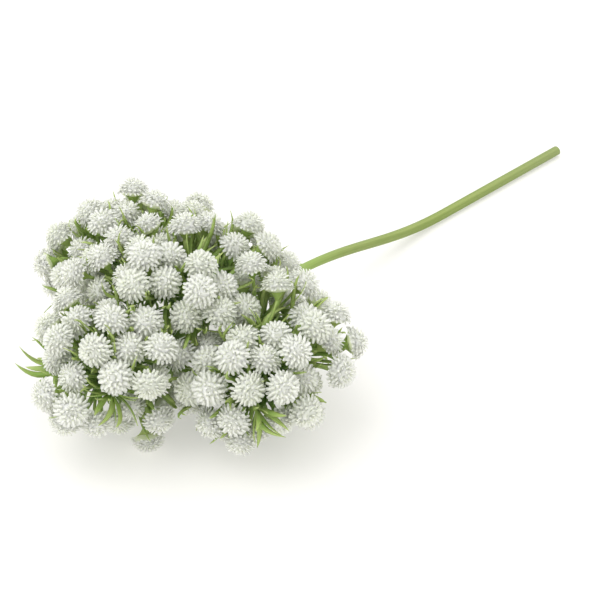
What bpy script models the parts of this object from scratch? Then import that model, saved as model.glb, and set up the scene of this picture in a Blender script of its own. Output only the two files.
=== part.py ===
"""One cut stem of gypsophila in moulded plastic, lying on a flat surface.

The stalk lies along X with its cut end at +X, and its flower cloud is at -X. Z is up.
The origin is on the surface, under the middle of the stem's box.
Four forks leave the top of the stalk. Each carries branchlets, and each branchlet ends in a node.
From the node thin stalks fan out to one bunch of round white flower heads, or leaves make a tuft.
"""
import math

import bmesh
import bpy
import numpy as np
from mathutils import Matrix, Vector

# Driving dimensions, in metres and radians, and the seed of every random draw
SEED = 15

# The flower cloud: its lobes' scale, points tried on each lobe, and how deep one lobe hides another
CLOUD_SCALE = 0.86
LOBE_LIFT = 0.0012
LOBE_OVERLAP = 0.97
SURFACE_POINTS = 2600

# Flower heads, and the bunches that they stand in
HEAD_RADIUS = 0.00525
CORE_RADIUS = 0.0034
SMALLEST_HEAD = 0.95
HEAD_COUNT = 160
FACING_OUT = 0.55
HEAD_TILT = 0.45
TILT_SHARES = (1.0, 0.75, 0.5, 0.25)
LOW_HEAD = 0.012
LOWEST_FACING = -0.25
DRAWN_IN = 0.78
LINK_DEPTH = 0.0012
LINK_RISE = 0.0011
BUNCH_COUNT = 31
FACING_APART = 0.006
BUNCH_DEPTH = 0.0125
DEEPEST_BUNCH = -0.0060
PROUDEST_BUNCH = 0.0030
HEAD_RAGGEDNESS = 0.0009
SPACE_IN_BUNCH = 0.0091
SPACE_BETWEEN_BUNCHES = 0.0109

# How the heads settle: their centres' height on the surface, free or pressed flat, and their room.
# The last two are what a head's stalk keeps to other heads' centres, and its calyx to other calyces.
SETTLING_STEPS = 140
CALMING_STEPS = 30
REST_HEIGHT = 0.0046
PRESSED_HEIGHT = 0.0027
STEM_CLEARANCE = 0.0004
THICK_STEM_EXTRA = 0.0002
GAP = 0.0003
STALK_ROOM = 0.0062
CALYX_ROOM = 0.0034

# The stalk, with its reaches taken from the junction, and the collar on its end
STALK_RADIUS = 0.0017
STALK_TOP_RADIUS = 0.0014
STALK_REACH = 0.130
STALK_LYING_REACH = 0.074
STALK_RISE_REACH = 0.030
STALK_BOW = 0.0025
STALK_BEND = 0.028
STALK_DIP = 0.0035
COLLAR_RADIUS = 0.0027
COLLAR_LENGTH = 0.0022
COLLAR_LEAD = 0.0018

# The forks, and the branchlets that leave them
FORK_SPACING = 0.00145
FORK_LEAD = 0.0012
FORK_REACH = 0.28
FORK_RADIUS = 0.00085
FORK_TIP_RADIUS = 0.00075
BARE_FORK_STEPS = 7
BRANCHLET_RADIUS = 0.00071
BRANCH_SLOPE = 0.6
SHORTEST_BRANCHLET = 0.0065
ARRIVAL_STRAIGHTNESS = 1.5

# The nodes at the branchlets' ends, and the stalks and calyces that fan out of them
LOWEST_NODE = 0.0048
NODE_RADIUS = 0.0013
FACE_DEPTH = 0.795
ROOT_LENGTH = 0.0008
ROOT_RADIUS = 0.00048
ARCHING = 1.45
WIDEST_ANGLE = 2.0
PEDICEL_RADIUS = 0.0006
CALYX_RADIUS = 0.0014
CALYX_LENGTH = 0.0017
CUP_DEPTH = 0.447

# Leaves: a few at each bunch's node, more in the tufts, and the room that each keeps
BUNCH_LEAVES = 2
BUNCH_LEAF = 0.0130
TUFT_COUNT = 9
TUFT_LEAVES = 8
TUFT_LEAF = 0.0125
TUFT_DEPTH = 0.0070
TUFT_CLEARING = 0.0080
LEAF_WIDTH = 0.0017
LEAF_TIP_RADIUS = 0.0002
LEAF_FLATNESS = 0.55
LEAF_TRIES = 40
LEAF_TO_HEAD = HEAD_RADIUS + 0.0007
LEAF_TO_STEM = 0.0020
LEAF_TO_OWN = 0.0016
LEAF_TO_GROUND = 0.0012

# How close points merge in a solid, and how close to the surface they count as on it
MERGE_DISTANCE = 0.000002
ON_SURFACE = 0.000001

# Where the stalk ends and the forks begin
JUNCTION = np.array([-0.0162, -0.0020, 0.017])

# Each lobe of the flower cloud: turn in degrees from -X, reach from the junction, height of its
# centre, half its length, width and height, and its upward tilt in degrees, all before scaling
LOBES = (
    (-36.0, 0.052, 0.0232, (0.034, 0.024, 0.021), 3.0),
    (34.0, 0.054, 0.0228, (0.034, 0.024, 0.020), 3.0),
    (-2.0, 0.046, 0.0325, (0.034, 0.026, 0.019), 10.0),
    (0.0, 0.074, 0.0238, (0.034, 0.027, 0.021), 2.0),
)
# On which side of the collar each fork starts, sideways and up
FORK_SIDES = ((1, 0), (-1, 0), (0, 1), (0, -1))
# The three low heads that carry the cloud stand nearest to these places, taken from the junction
REST_SPOTS = ((-0.080, -0.022), (-0.076, 0.024), (-0.042, 0.004))


def unit(vectors):
    """Vectors divided by their own length."""
    return vectors / np.linalg.norm(vectors, axis=-1, keepdims=True)


def bezier(points, t):
    """Points at t on the cubic curve of four control points."""
    t = t[:, None]
    a, b, c, d = points
    return (1 - t) ** 3 * a + 3 * (1 - t) ** 2 * t * b + 3 * (1 - t) * t * t * c + t ** 3 * d


def lobe_frame(turn, reach, height, semi, tilt):
    """A lobe's centre, its three axes (along, sideways, up) and its half lengths."""
    turn = math.radians(turn)
    tilt = math.radians(tilt)
    flat = np.array([-math.cos(turn), -math.sin(turn), 0.0])
    side = np.array([-math.sin(turn), math.cos(turn), 0.0])
    along = flat * math.cos(tilt) + np.array([0.0, 0.0, math.sin(tilt)])
    centre = JUNCTION * (1, 1, 0) + flat * reach * CLOUD_SCALE
    centre[2] = height * CLOUD_SCALE + LOBE_LIFT
    return centre, np.array([along, side, np.cross(side, along)]), np.array(semi) * CLOUD_SCALE


LOBE_FRAMES = [lobe_frame(*lobe) for lobe in LOBES]


def cloud_surface():
    """Points spread evenly on each lobe by the golden angle, kept where no other lobe covers them."""
    i = np.arange(SURFACE_POINTS) + 0.5
    z = 1 - 2 * i / SURFACE_POINTS
    turn = i * math.pi * (3 - math.sqrt(5))
    flat = np.sqrt(1 - z * z)
    ball = np.stack([flat * np.cos(turn), flat * np.sin(turn), z], axis=1)
    spots, normals, lobes = [], [], []
    for k, (centre, axes, semi) in enumerate(LOBE_FRAMES):
        points = centre + (ball * semi) @ axes
        outward = unit((ball / semi) @ axes)
        free = np.ones(SURFACE_POINTS, bool)
        for m, (other, other_axes, other_semi) in enumerate(LOBE_FRAMES):
            if m != k:
                depth = np.linalg.norm((points - other) @ other_axes.T / other_semi, axis=1)
                free &= depth > LOBE_OVERLAP
        points[:, 2] = np.maximum(points[:, 2], REST_HEIGHT)
        spots.append(points[free])
        normals.append(outward[free])
        lobes.append(np.full(free.sum(), k))
    return np.concatenate(spots), np.concatenate(normals), np.concatenate(lobes)


def farthest(points, weight, count, first):
    """Indices of points, each chosen as far as it can be from those before it."""
    chosen = [first]
    near = np.linalg.norm(points - points[first], axis=1)
    for _ in range(count - 1):
        chosen.append(int(np.argmax(near * weight)))
        near = np.minimum(near, np.linalg.norm(points - points[chosen[-1]], axis=1))
    return np.array(chosen)


def even_spread(points, weight, chosen, rounds):
    """Move each chosen point to the weighted middle of what lies nearest to it, a few times over."""
    centres = points[chosen].copy()
    for _ in range(rounds):
        member = np.argmin(np.linalg.norm(points[:, None] - centres[None], axis=2), axis=1)
        for k in range(len(centres)):
            mine = member == k
            centres[k] = np.average(points[mine], axis=0, weights=weight[mine])
        chosen = np.argmin(np.linalg.norm(points[None] - centres[:, None], axis=2), axis=1)
        centres = points[chosen].copy()
    return chosen


def group(features, count, rounds):
    """The number of the group that each row belongs to, groups being rows that lie close together."""
    centres = features[farthest(features, np.ones(len(features)), count, 0)].copy()
    for _ in range(rounds):
        member = np.argmin(np.linalg.norm(features[:, None] - centres[None], axis=2), axis=1)
        for k in range(count):
            if (member == k).any():
                centres[k] = features[member == k].mean(axis=0)
    return member


def from_segments(points, starts, ends):
    """For each point and segment, the vector from the segment's nearest place to the point."""
    run = ends - starts
    share = ((points[:, None] - starts[None]) * run[None]).sum(-1) / (run * run).sum(-1)
    share = np.clip(share, 0, 1)
    return points[:, None] - (starts[None] + share[..., None] * run[None])


def nearest(points, starts, ends):
    """The shortest way from any of the points to any of the segments."""
    return np.linalg.norm(from_segments(points, starts, ends), axis=2).min()


def fork_axis(fork, t):
    """The fork's middle line: it leaves the collar almost straight and bends into its lobe."""
    side, up = FORK_SIDES[fork]
    start = JUNCTION + np.array([-GAP - FORK_LEAD, side * FORK_SPACING, up * FORK_SPACING])
    centre, axes, semi = LOBE_FRAMES[fork]
    end = centre + axes[0] * semi[0] * FORK_REACH
    length = np.linalg.norm(end - start)
    lead = unit(np.array([-1.0, side * 0.23, 0.08 + up * 0.09]))
    return bezier((start, start + lead * length * 0.35, end - axes[0] * length * 0.3, end), t)


# Each fork's middle line as a row of points
AXIS_STEPS = np.linspace(0, 1, 61)
AXES = [fork_axis(fork, AXIS_STEPS) for fork in range(4)]


def branchlet(fork, node, up, count):
    """A curve from the fork's middle line to a node. It leaves the line at an acute angle."""
    line = AXES[fork]
    length = np.linalg.norm(line[-1] - line[0])
    away = np.linalg.norm(node - line, axis=1)
    cost = away + BRANCH_SLOPE * length * AXIS_STEPS + (away < SHORTEST_BRANCHLET)
    cost[:BARE_FORK_STEPS] += 1.0
    at = int(np.argmin(cost))
    start = line[at]
    lead = unit(line[min(at + 1, len(line) - 1)] - line[at - 1])
    reach = np.linalg.norm(node - start)
    arrival = unit(up + ARRIVAL_STRAIGHTNESS * unit(node - start))
    ways = (start, start + lead * reach * 0.35, node - arrival * reach * 0.35, node)
    return bezier(ways, np.linspace(0, 1, count))


def node_faces(arrival):
    """The directions of the faces of a node's ball. The first face is the one that the branchlet joins."""
    ball = node_ball(arrival, 1.0)
    faces = [np.array(face.calc_center_median().normalized()) for face in ball.faces]
    ball.free()
    return faces


def node_ball(arrival, radius):
    """A ball of twenty faces, turned so that its first face looks back along the arriving branchlet."""
    ball = bmesh.new()
    bmesh.ops.create_icosphere(ball, subdivisions=1, radius=radius)
    ball.faces.ensure_lookup_table()
    turn = ball.faces[0].calc_center_median().rotation_difference(Vector(-arrival))
    ball.transform(turn.to_matrix().to_4x4())
    ball.faces.ensure_lookup_table()
    return ball


def widen(way, up):
    """A direction turned further from up, so that stalks leave their node well apart and arch inwards."""
    angle = math.acos(min(1.0, max(-1.0, way @ up)))
    side = unit(way - up * (way @ up) + 1e-9)
    wider = min(angle * ARCHING, WIDEST_ANGLE)
    return up * math.cos(wider) + side * math.sin(wider)


def share_faces(ways, faces):
    """A face of the node's ball for each stalk: the fairest free one, then exchanges that fit better."""
    taken = []
    for way in ways:
        taken.append(max(set(range(1, len(faces))) - set(taken), key=lambda face: way @ faces[face]))
    for _ in range(4):
        for one in range(len(ways)):
            for face in range(1, len(faces)):
                two = taken.index(face) if face in taken else None
                now = ways[one] @ faces[taken[one]] + (ways[two] @ faces[face] if two is not None else 0)
                then = ways[one] @ faces[face] + (ways[two] @ faces[taken[one]] if two is not None else 0)
                if then > now + 1e-9 and two != one:
                    if two is not None:
                        taken[two] = taken[one]
                    taken[one] = face
    return taken


class Plan:
    """Where every head, node and branchlet of the stem lies."""

    def __init__(self):
        self.random = np.random.default_rng(SEED)
        self.place_heads()
        self.settle()
        self.aim_heads()
        self.grow_nodes()

    def place_heads(self):
        """Spread tufts and heads over the cloud, and gather the heads in bunches."""
        spots, outward, lobes = cloud_surface()
        showing = np.where((outward[:, 2] > 0.05) & (outward[:, 0] < 0.75), 1.0, 0.0)
        first = int(self.random.choice(np.nonzero(showing)[0]))
        tufts = farthest(spots, showing, TUFT_COUNT, first)
        self.tuft_spots = spots[tufts]
        self.tuft_ups = outward[tufts]
        self.tuft_forks = lobes[tufts]
        clear = np.linalg.norm(spots[:, None] - self.tuft_spots[None], axis=2).min(axis=1)
        keep = clear > TUFT_CLEARING
        spots, outward, lobes = spots[keep], outward[keep], lobes[keep]
        weight = np.where(outward[:, 2] < -0.3, 0.35, 1.0) * np.where(outward[:, 0] > 0.6, 0.5, 1.0)
        chosen = farthest(spots, np.sqrt(weight), HEAD_COUNT, int(np.argmax(spots[:, 2])))
        chosen = even_spread(spots, weight, chosen, 8)
        self.heads = spots[chosen].copy()
        self.outward = outward[chosen]
        self.bunch = group(np.concatenate([self.heads, self.outward * FACING_APART], axis=1), BUNCH_COUNT, 12)
        self.forks = np.array([
            np.bincount(lobes[chosen][self.bunch == k], minlength=4).argmax() for k in range(BUNCH_COUNT)
        ])

    def find_nodes(self):
        """Each bunch's node lies inside the cloud, under the middle of its heads."""
        self.middles = np.array([self.heads[self.bunch == k].mean(axis=0) for k in range(BUNCH_COUNT)])
        outward = np.array([self.outward[self.bunch == k].mean(axis=0) for k in range(BUNCH_COUNT)])
        hubs = np.array([LOBE_FRAMES[fork][0] for fork in self.forks])
        self.ups = unit(unit(outward) + 0.8 * unit(self.middles - hubs))
        self.nodes = self.middles - self.ups * BUNCH_DEPTH
        self.nodes[:, 2] = np.maximum(self.nodes[:, 2], LOWEST_NODE)

    def pedicels(self):
        """Start and end of each head's stalk."""
        starts = self.nodes[self.bunch]
        return starts, self.heads - unit(self.heads - starts) * CORE_RADIUS * 0.5

    def thick_stems(self):
        """Start and end of each stretch of the branchlets and forks."""
        tuft_nodes = self.tuft_spots - self.tuft_ups * TUFT_DEPTH
        lines = [branchlet(*each, 4) for each in zip(self.forks, self.nodes, self.ups)]
        lines += [branchlet(*each, 4) for each in zip(self.tuft_forks, tuft_nodes, self.tuft_ups)]
        lines += [line[::10] for line in AXES]
        starts = np.concatenate([line[:-1] for line in lines])
        return starts, np.concatenate([line[1:] for line in lines])

    def settle(self):
        """Push heads apart and off the stems, and draw each bunch together, until all have room."""
        depth = self.random.uniform(DEEPEST_BUNCH, PROUDEST_BUNCH, BUNCH_COUNT)[self.bunch]
        depth += self.random.normal(0, HEAD_RAGGEDNESS, HEAD_COUNT)
        home = self.heads + self.outward * depth[:, None]
        lowest = np.full(HEAD_COUNT, REST_HEIGHT)
        for spot in REST_SPOTS:
            away = np.linalg.norm(home[:, :2] - JUNCTION[:2] - spot, axis=1) + 2 * home[:, 2]
            away[lowest < REST_HEIGHT] = 1.0
            lowest[np.argmin(away)] = PRESSED_HEIGHT
        carriers = lowest < REST_HEIGHT
        home[carriers, 2] = PRESSED_HEIGHT
        self.heads = home.copy()
        same = self.bunch[:, None] == self.bunch[None]
        space = np.where(same, SPACE_IN_BUNCH, SPACE_BETWEEN_BUNCHES)
        room = HEAD_RADIUS + PEDICEL_RADIUS + STEM_CLEARANCE
        for step in range(SETTLING_STEPS):
            apart = self.heads[:, None] - self.heads[None]
            distance = np.linalg.norm(apart, axis=2) + np.eye(HEAD_COUNT)
            push = np.clip(space - distance, 0, None) * 0.45
            move = (apart / distance[..., None] * push[..., None]).sum(axis=1)
            self.find_nodes()
            ease = 0.05 if step < SETTLING_STEPS - CALMING_STEPS else 0.01
            move += ease * (home - self.heads) + 0.015 * (self.middles[self.bunch] - self.heads)
            self.heads += move
            if step > 20:
                for starts, ends, own in (self.pedicels() + (True,), self.thick_stems() + (False,)):
                    away = from_segments(self.heads, starts, ends)
                    distance = np.linalg.norm(away, axis=2)
                    if own:
                        np.fill_diagonal(distance, 1)
                    push = np.clip(room + (0 if own else THICK_STEM_EXTRA) - distance, 0, None) * 0.5
                    away = away / np.maximum(distance, 1e-5)[..., None]
                    self.heads += (away * push[..., None]).sum(axis=1)
            self.heads[:, 2] = np.maximum(self.heads[:, 2], lowest)
            self.heads[carriers, 2] = PRESSED_HEIGHT
            self.heads = np.round(self.heads, 7)
        self.find_nodes()

    def seat(self, m, aim):
        """Where head m's calyx starts and ends when the head faces along aim."""
        cup = self.heads[m] - aim * (CORE_RADIUS * CUP_DEPTH + GAP)
        return cup - aim * CALYX_LENGTH, cup

    def room_under(self, m, aim):
        """How far the stalk and calyx of head m keep from other heads, and its calyx from others."""
        neck, cup = self.seat(m, aim)
        line = np.array([self.nodes[self.bunch[m]], neck, cup])
        to_heads = nearest(np.delete(self.heads, m, axis=0), line[:-1], line[1:])
        middles = np.delete((self.necks + self.cups) / 2, m, axis=0)
        return to_heads, np.linalg.norm(middles - (neck + cup) / 2, axis=1).min()

    def aim_heads(self):
        """Turn each head from its stalk's line to the outside and at random, as far as it has room."""
        straight = unit(self.heads - self.nodes[self.bunch])
        lean = FACING_OUT * self.outward + HEAD_TILT * self.random.normal(size=(HEAD_COUNT, 3))
        self.aims = straight.copy()
        self.necks, self.cups = self.seat(slice(None), self.aims)
        for m in range(HEAD_COUNT):
            heads_off, cups_off = self.room_under(m, straight[m])
            for share in TILT_SHARES:
                aim = straight[m] + share * lean[m]
                if self.heads[m, 2] < LOW_HEAD:
                    aim[2] = max(aim[2], LOWEST_FACING)
                aim = unit(aim)
                to_heads, to_cups = self.room_under(m, aim)
                if to_heads > min(heads_off, STALK_ROOM) and to_cups > min(cups_off, CALYX_ROOM):
                    self.aims[m] = aim
                    self.necks[m], self.cups[m] = self.seat(m, aim)
                    break
        self.spins = self.random.uniform(0, 2 * math.pi, HEAD_COUNT)
        self.sizes = self.random.uniform(SMALLEST_HEAD, 1.0, HEAD_COUNT)

    def stems(self):
        """Every green stretch outside the leaves: the number of its bunch, tuft or fork, start and end."""
        starts, ends = self.pedicels()
        thick_starts, thick_ends = self.thick_stems()
        branchlets = np.repeat(np.arange(BUNCH_COUNT + TUFT_COUNT), 3)
        owners = np.concatenate([self.bunch, branchlets, np.repeat(-1, 24)])
        return owners, np.concatenate([starts, thick_starts]), np.concatenate([ends, thick_ends])

    def grow_nodes(self):
        """At each node, give every stalk a face of the node's ball, and leaves some of those left."""
        self.limbs = []
        owners, starts, ends = self.stems()
        tuft_nodes = self.tuft_spots - self.tuft_ups * TUFT_DEPTH
        nodes = np.concatenate([self.nodes, tuft_nodes])
        for bunch, fork in enumerate(np.concatenate([self.forks, self.tuft_forks])):
            node = nodes[bunch]
            tuft = bunch >= BUNCH_COUNT
            up = self.tuft_ups[bunch - BUNCH_COUNT] if tuft else self.ups[bunch]
            leaves, length = (TUFT_LEAVES, TUFT_LEAF) if tuft else (BUNCH_LEAVES, BUNCH_LEAF)
            faces = node_faces(unit(node - branchlet(fork, node, up, 4)[-2]))
            stalks = [(self.necks[m], self.cups[m]) for m in np.nonzero(self.bunch == bunch)[0]]
            ways = [widen(unit(neck - node), up) for neck, cup in stalks]
            taken = share_faces(ways, faces)
            free = [face for face in range(1, len(faces)) if face not in taken]
            roots = node + np.array(faces) * (NODE_RADIUS * FACE_DEPTH + ROOT_LENGTH)
            limbs = [(face, "stalk", (roots[face], *places), 0.0) for face, places in zip(taken, stalks)]
            own = np.array([places[:2] for _, _, places, _ in limbs]).reshape(-1, 2, 3)
            back = branchlet(fork, node, up, 4)
            own = np.concatenate([own, np.stack([back[:-2], back[1:-1]], axis=1)])
            free.sort(key=lambda face: -(faces[face] @ up))
            grown = 0
            for face in free:
                if grown == leaves or faces[face] @ up < -0.3:
                    break
                others = owners != bunch
                for _ in range(LEAF_TRIES):
                    way = unit(faces[face] + (0.4 if tuft else 0.1) * up + 0.15 * self.random.normal(size=3))
                    reach = length * self.random.uniform(0.8, 1.15)
                    tip = unit(way + 0.15 * self.random.normal(size=3)) * reach
                    leaf = np.array([roots[face], node + way * reach * 0.55, node + tip])
                    along = leaf[0] + (leaf[2] - leaf[0]) * np.linspace(0, 1, 6)[:, None]
                    along = np.concatenate([along, leaf[1:2]])
                    to_heads = nearest(self.heads, leaf[:-1], leaf[1:])
                    to_stems = nearest(along, starts[others], ends[others])
                    to_own = nearest(along[1:], own[:, 0], own[:, 1])
                    clear = to_heads > LEAF_TO_HEAD and to_stems > LEAF_TO_STEM and to_own > LEAF_TO_OWN
                    if clear and leaf[:, 2].min() > LEAF_TO_GROUND:
                        limbs.append((face, "leaf", leaf, self.random.uniform(0, math.pi)))
                        own = np.concatenate([own, [leaf[:2], leaf[1:]]])
                        grown += 1
                        owners = np.append(owners, [bunch, bunch])
                        starts = np.concatenate([starts, leaf[:-1]])
                        ends = np.concatenate([ends, leaf[1:]])
                        break
            self.limbs.append((fork, node, up, limbs))


def bunch_links(heads):
    """Pairs of heads that hold a bunch together: the shortest tree that joins them all."""
    distance = np.linalg.norm(heads[:, None] - heads[None], axis=2)
    joined = [0]
    links = []
    while len(joined) < len(heads):
        left = [k for k in range(len(heads)) if k not in joined]
        at = np.unravel_index(np.argmin(distance[np.ix_(joined, left)]), (len(joined), len(left)))
        links.append((joined[at[0]], left[at[1]]))
        joined.append(left[at[1]])
    return links


def material(name, colour, roughness):
    """A Principled material of one colour."""
    new = bpy.data.materials.new(name)
    new.use_nodes = True
    shader = new.node_tree.nodes["Principled BSDF"]
    shader.inputs["Base Color"].default_value = (*colour, 1.0)
    shader.inputs["Roughness"].default_value = roughness
    shader.inputs["Metallic"].default_value = 0.0
    return new


def add_object(name, data, collection):
    """A new object with this data in this collection."""
    thing = bpy.data.objects.new(name, data)
    collection.objects.link(thing)
    return thing


def head_mesh(centre, aim, spin, size, links, cups):
    """A ball flat below where the calyx sits, with every face above it drawn out to a petal tip.

    Each link is a place inside a neighbouring head: the petal nearest to it is turned and lengthened
    to it. Petals that would touch the calyx of another head are drawn in.
    """
    shape = bmesh.new()
    bmesh.ops.create_icosphere(shape, subdivisions=1, radius=CORE_RADIUS)
    lowest = min(shape.verts, key=lambda vert: vert.co.z)
    bmesh.ops.delete(shape, geom=[lowest], context="VERTS")
    petals = list(shape.faces)
    bmesh.ops.holes_fill(shape, edges=[edge for edge in shape.edges if edge.is_boundary], sides=0)
    tips = bmesh.ops.poke(shape, faces=petals)["verts"]
    for tip in tips:
        tip.co = tip.co.normalized() * HEAD_RADIUS * size
    turn = Vector(aim).to_track_quat("Z", "Y").to_matrix().to_4x4() @ Matrix.Rotation(spin, 4, "Z")
    shape.transform(Matrix.Translation(Vector(centre)) @ turn)
    for place in links:
        way = Vector(place - centre).normalized()
        facing = max(tips, key=lambda tip: (tip.co - Vector(centre)).normalized().dot(way))
        tips.remove(facing)
        facing.co = place
    for tip in tips:
        petal = centre + (np.array(tip.co) - centre) * np.array([[0.75], [1.0]])
        if nearest(petal, *cups) < CALYX_RADIUS + GAP:
            tip.co = centre + (np.array(tip.co) - centre) * DRAWN_IN
    mesh = bpy.data.meshes.new("head")
    shape.to_mesh(mesh)
    shape.free()
    return mesh


def tube(points, radii, fineness, workshop):
    """A capped round tube along points, with a radius at each. It has 4 sides and 2 more a fineness."""
    curve = bpy.data.curves.new("tube", "CURVE")
    curve.dimensions = "3D"
    curve.bevel_depth = 1.0
    curve.bevel_resolution = fineness
    curve.use_fill_caps = True
    line = curve.splines.new("POLY")
    line.points.add(len(points) - 1)
    for point, place, radius in zip(line.points, points, radii):
        point.co = (*place, 1.0)
        point.radius = radius
        point.tilt = math.pi / 8
    return add_object("tube", curve, workshop)


def solid_from(curve_object, collection):
    """A closed mesh made from a tube, with its caps welded on and its faces outwards."""
    seen = curve_object.evaluated_get(bpy.context.evaluated_depsgraph_get())
    mesh = bpy.data.meshes.new_from_object(seen)
    shape = bmesh.new()
    shape.from_mesh(mesh)
    bmesh.ops.remove_doubles(shape, verts=shape.verts, dist=MERGE_DISTANCE)
    bmesh.ops.dissolve_degenerate(shape, edges=shape.edges, dist=MERGE_DISTANCE)
    bmesh.ops.recalc_face_normals(shape, faces=shape.faces)
    shape.to_mesh(mesh)
    shape.free()
    solid = add_object("solid", mesh, collection)
    solid.matrix_world = curve_object.matrix_world
    bpy.data.objects.remove(curve_object)
    return solid


def fuse(name, solids, workshop, collection, finish):
    """One solid of many by a union, cut off flat where it is pressed on the surface at z = 0."""
    joined = solids[0]
    others = bpy.data.collections.new("joining")
    bpy.context.scene.collection.children.link(others)
    for solid in solids[1:]:
        others.objects.link(solid)
        workshop.objects.unlink(solid)
    if len(solids) > 1:
        union = joined.modifiers.new("join", "BOOLEAN")
        union.operation = "UNION"
        union.operand_type = "COLLECTION"
        union.collection = others
        union.solver = "MANIFOLD"
    seen = joined.evaluated_get(bpy.context.evaluated_depsgraph_get())
    mesh = bpy.data.meshes.new_from_object(seen)
    for solid in solids:
        bpy.data.objects.remove(solid)
    bpy.data.collections.remove(others)
    shape = bmesh.new()
    shape.from_mesh(mesh)
    if min(vert.co.z for vert in shape.verts) < 0:
        parts = shape.verts[:] + shape.edges[:] + shape.faces[:]
        bmesh.ops.bisect_plane(shape, geom=parts, dist=ON_SURFACE, plane_co=(0, 0, 0), plane_no=(0, 0, 1),
                               clear_inner=True)
        bmesh.ops.holes_fill(shape, edges=[edge for edge in shape.edges if edge.is_boundary], sides=0)
    bmesh.ops.triangulate(shape, faces=shape.faces)
    shape.to_mesh(mesh)
    shape.free()
    mesh.materials.clear()
    mesh.materials.append(finish)
    return add_object(name, mesh, collection)


def link_path(plan, one, two):
    """A petal's way from one head into the middle of another, and its room beside the calyces."""
    way = unit(plan.heads[two] - plan.heads[one])
    end = plan.heads[two] - way * LINK_DEPTH + plan.aims[two] * LINK_RISE
    path = plan.heads[one] + (end - plan.heads[one]) * np.linspace(0.4, 1.0, 7)[:, None]
    cups = np.delete(plan.necks, one, axis=0), np.delete(plan.cups, one, axis=0)
    return one, path, nearest(path, *cups)


def build_flower_heads(plan, collection, workshop, finish):
    """A node for each bunch: its heads, joined where their petals meet."""
    for k in range(BUNCH_COUNT):
        members = np.nonzero(plan.bunch == k)[0]
        links = {member: [] for member in members}
        for one, two in bunch_links(plan.heads[members]):
            ways = [link_path(plan, members[one], members[two]), link_path(plan, members[two], members[one])]
            owner, path, room = max(ways, key=lambda way: way[2])
            links[owner].append(path[-1])
        solids = []
        for m in members:
            cups = np.delete(plan.necks, m, axis=0), np.delete(plan.cups, m, axis=0)
            mesh = head_mesh(plan.heads[m], plan.aims[m], plan.spins[m], plan.sizes[m], links[m], cups)
            solids.append(add_object("head", mesh, workshop))
        fuse(f"flower_heads_{k + 1:02d}", solids, workshop, collection, finish)


def draw_out(shape, face, places, radii, flatness=1.0, turn=0.0):
    """Carry a face along places, making it the regular triangle of each radius, and return it.

    Each new outline stands square to its stretch. A flatness below 1 makes it a blade's outline.
    """
    before = face.calc_center_median()
    for place, radius in zip(places, radii):
        place = Vector(place)
        along = (place - before).normalized()
        corner = face.verts[0].co - before
        first = (corner - along * corner.dot(along)).normalized()
        second = along.cross(first)
        order = 1 if (face.verts[1].co - before).dot(second) > 0 else -1
        face = bmesh.ops.extrude_discrete_faces(shape, faces=[face])["faces"][0]
        for k, vert in enumerate(face.verts):
            angle = order * k * 2 * math.pi / 3
            wide = math.cos(angle + turn)
            thin = math.sin(angle + turn) * flatness
            across = first * math.cos(turn) - second * math.sin(turn)
            upright = first * math.sin(turn) + second * math.cos(turn)
            vert.co = place + (across * wide + upright * thin) * radius
        before = place
    return face


def umbel_object(fork, node, up, limbs, workshop):
    """A branchlet with the ball at its end, drawn out into stalks with calyces and into leaves."""
    back = branchlet(fork, node, up, 4)[::-1][1:]
    shape = node_ball(unit(node - back[0]), NODE_RADIUS)
    shape.transform(Matrix.Translation(Vector(node)))
    shape.faces.ensure_lookup_table()
    faces = list(shape.faces)
    draw_out(shape, faces[0], back, [BRANCHLET_RADIUS] * 3)
    for face, kind, places, turn in limbs:
        if kind == "stalk":
            draw_out(shape, faces[face], places, [ROOT_RADIUS, PEDICEL_RADIUS, CALYX_RADIUS])
        else:
            root = draw_out(shape, faces[face], places[:1], [ROOT_RADIUS])
            widths = [LEAF_WIDTH / math.sqrt(3), LEAF_TIP_RADIUS]
            tip = draw_out(shape, root, places[1:], widths, LEAF_FLATNESS, turn)
            bmesh.ops.pointmerge(shape, verts=tip.verts[:], merge_co=Vector(places[-1]))
    bmesh.ops.recalc_face_normals(shape, faces=shape.faces)
    mesh = bpy.data.meshes.new("umbel")
    shape.to_mesh(mesh)
    shape.free()
    return add_object("umbel", mesh, workshop)


def build_forks(plan, collection, workshop, finish):
    """A node for each fork: its line, branchlets, head stalks with their calyces, and leaves."""
    for fork in range(4):
        line = AXES[fork][::10]
        start = line[0] + np.array([FORK_LEAD, 0.0, 0.0])
        radii = np.linspace(FORK_RADIUS, FORK_TIP_RADIUS, len(line) + 1)
        solids = [solid_from(tube([start, *line], radii, 1, workshop), workshop)]
        solids += [umbel_object(*job, workshop) for job in plan.limbs if job[0] == fork]
        fuse(f"fork_{fork + 1}", solids, workshop, collection, finish)


def build_main_stem(collection, workshop, finish):
    """The stalk: straight where it lies, then rising in one bend to a collar that holds the forks."""
    lowered = STALK_RADIUS * math.cos(math.pi / 8) - JUNCTION[2]
    bend = JUNCTION + bezier(np.array([
        (STALK_LYING_REACH, STALK_BOW, lowered),
        (STALK_LYING_REACH - STALK_BEND, STALK_BOW * 1.5, lowered),
        (STALK_RISE_REACH, STALK_BOW * 0.4, -STALK_DIP),
        (COLLAR_LENGTH + COLLAR_LEAD, 0.0, 0.0),
    ]), np.linspace(0, 1, 9))
    path = [JUNCTION + (STALK_REACH, 0, lowered), *bend, JUNCTION + (COLLAR_LENGTH, 0, 0), JUNCTION]
    taper = np.linspace(STALK_RADIUS, STALK_TOP_RADIUS, 9)
    radii = [STALK_RADIUS, *taper, COLLAR_RADIUS * 0.92, COLLAR_RADIUS]
    solid = solid_from(tube(path, radii, 2, workshop), workshop)
    fuse("main_stem", [solid], workshop, collection, finish)


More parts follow.
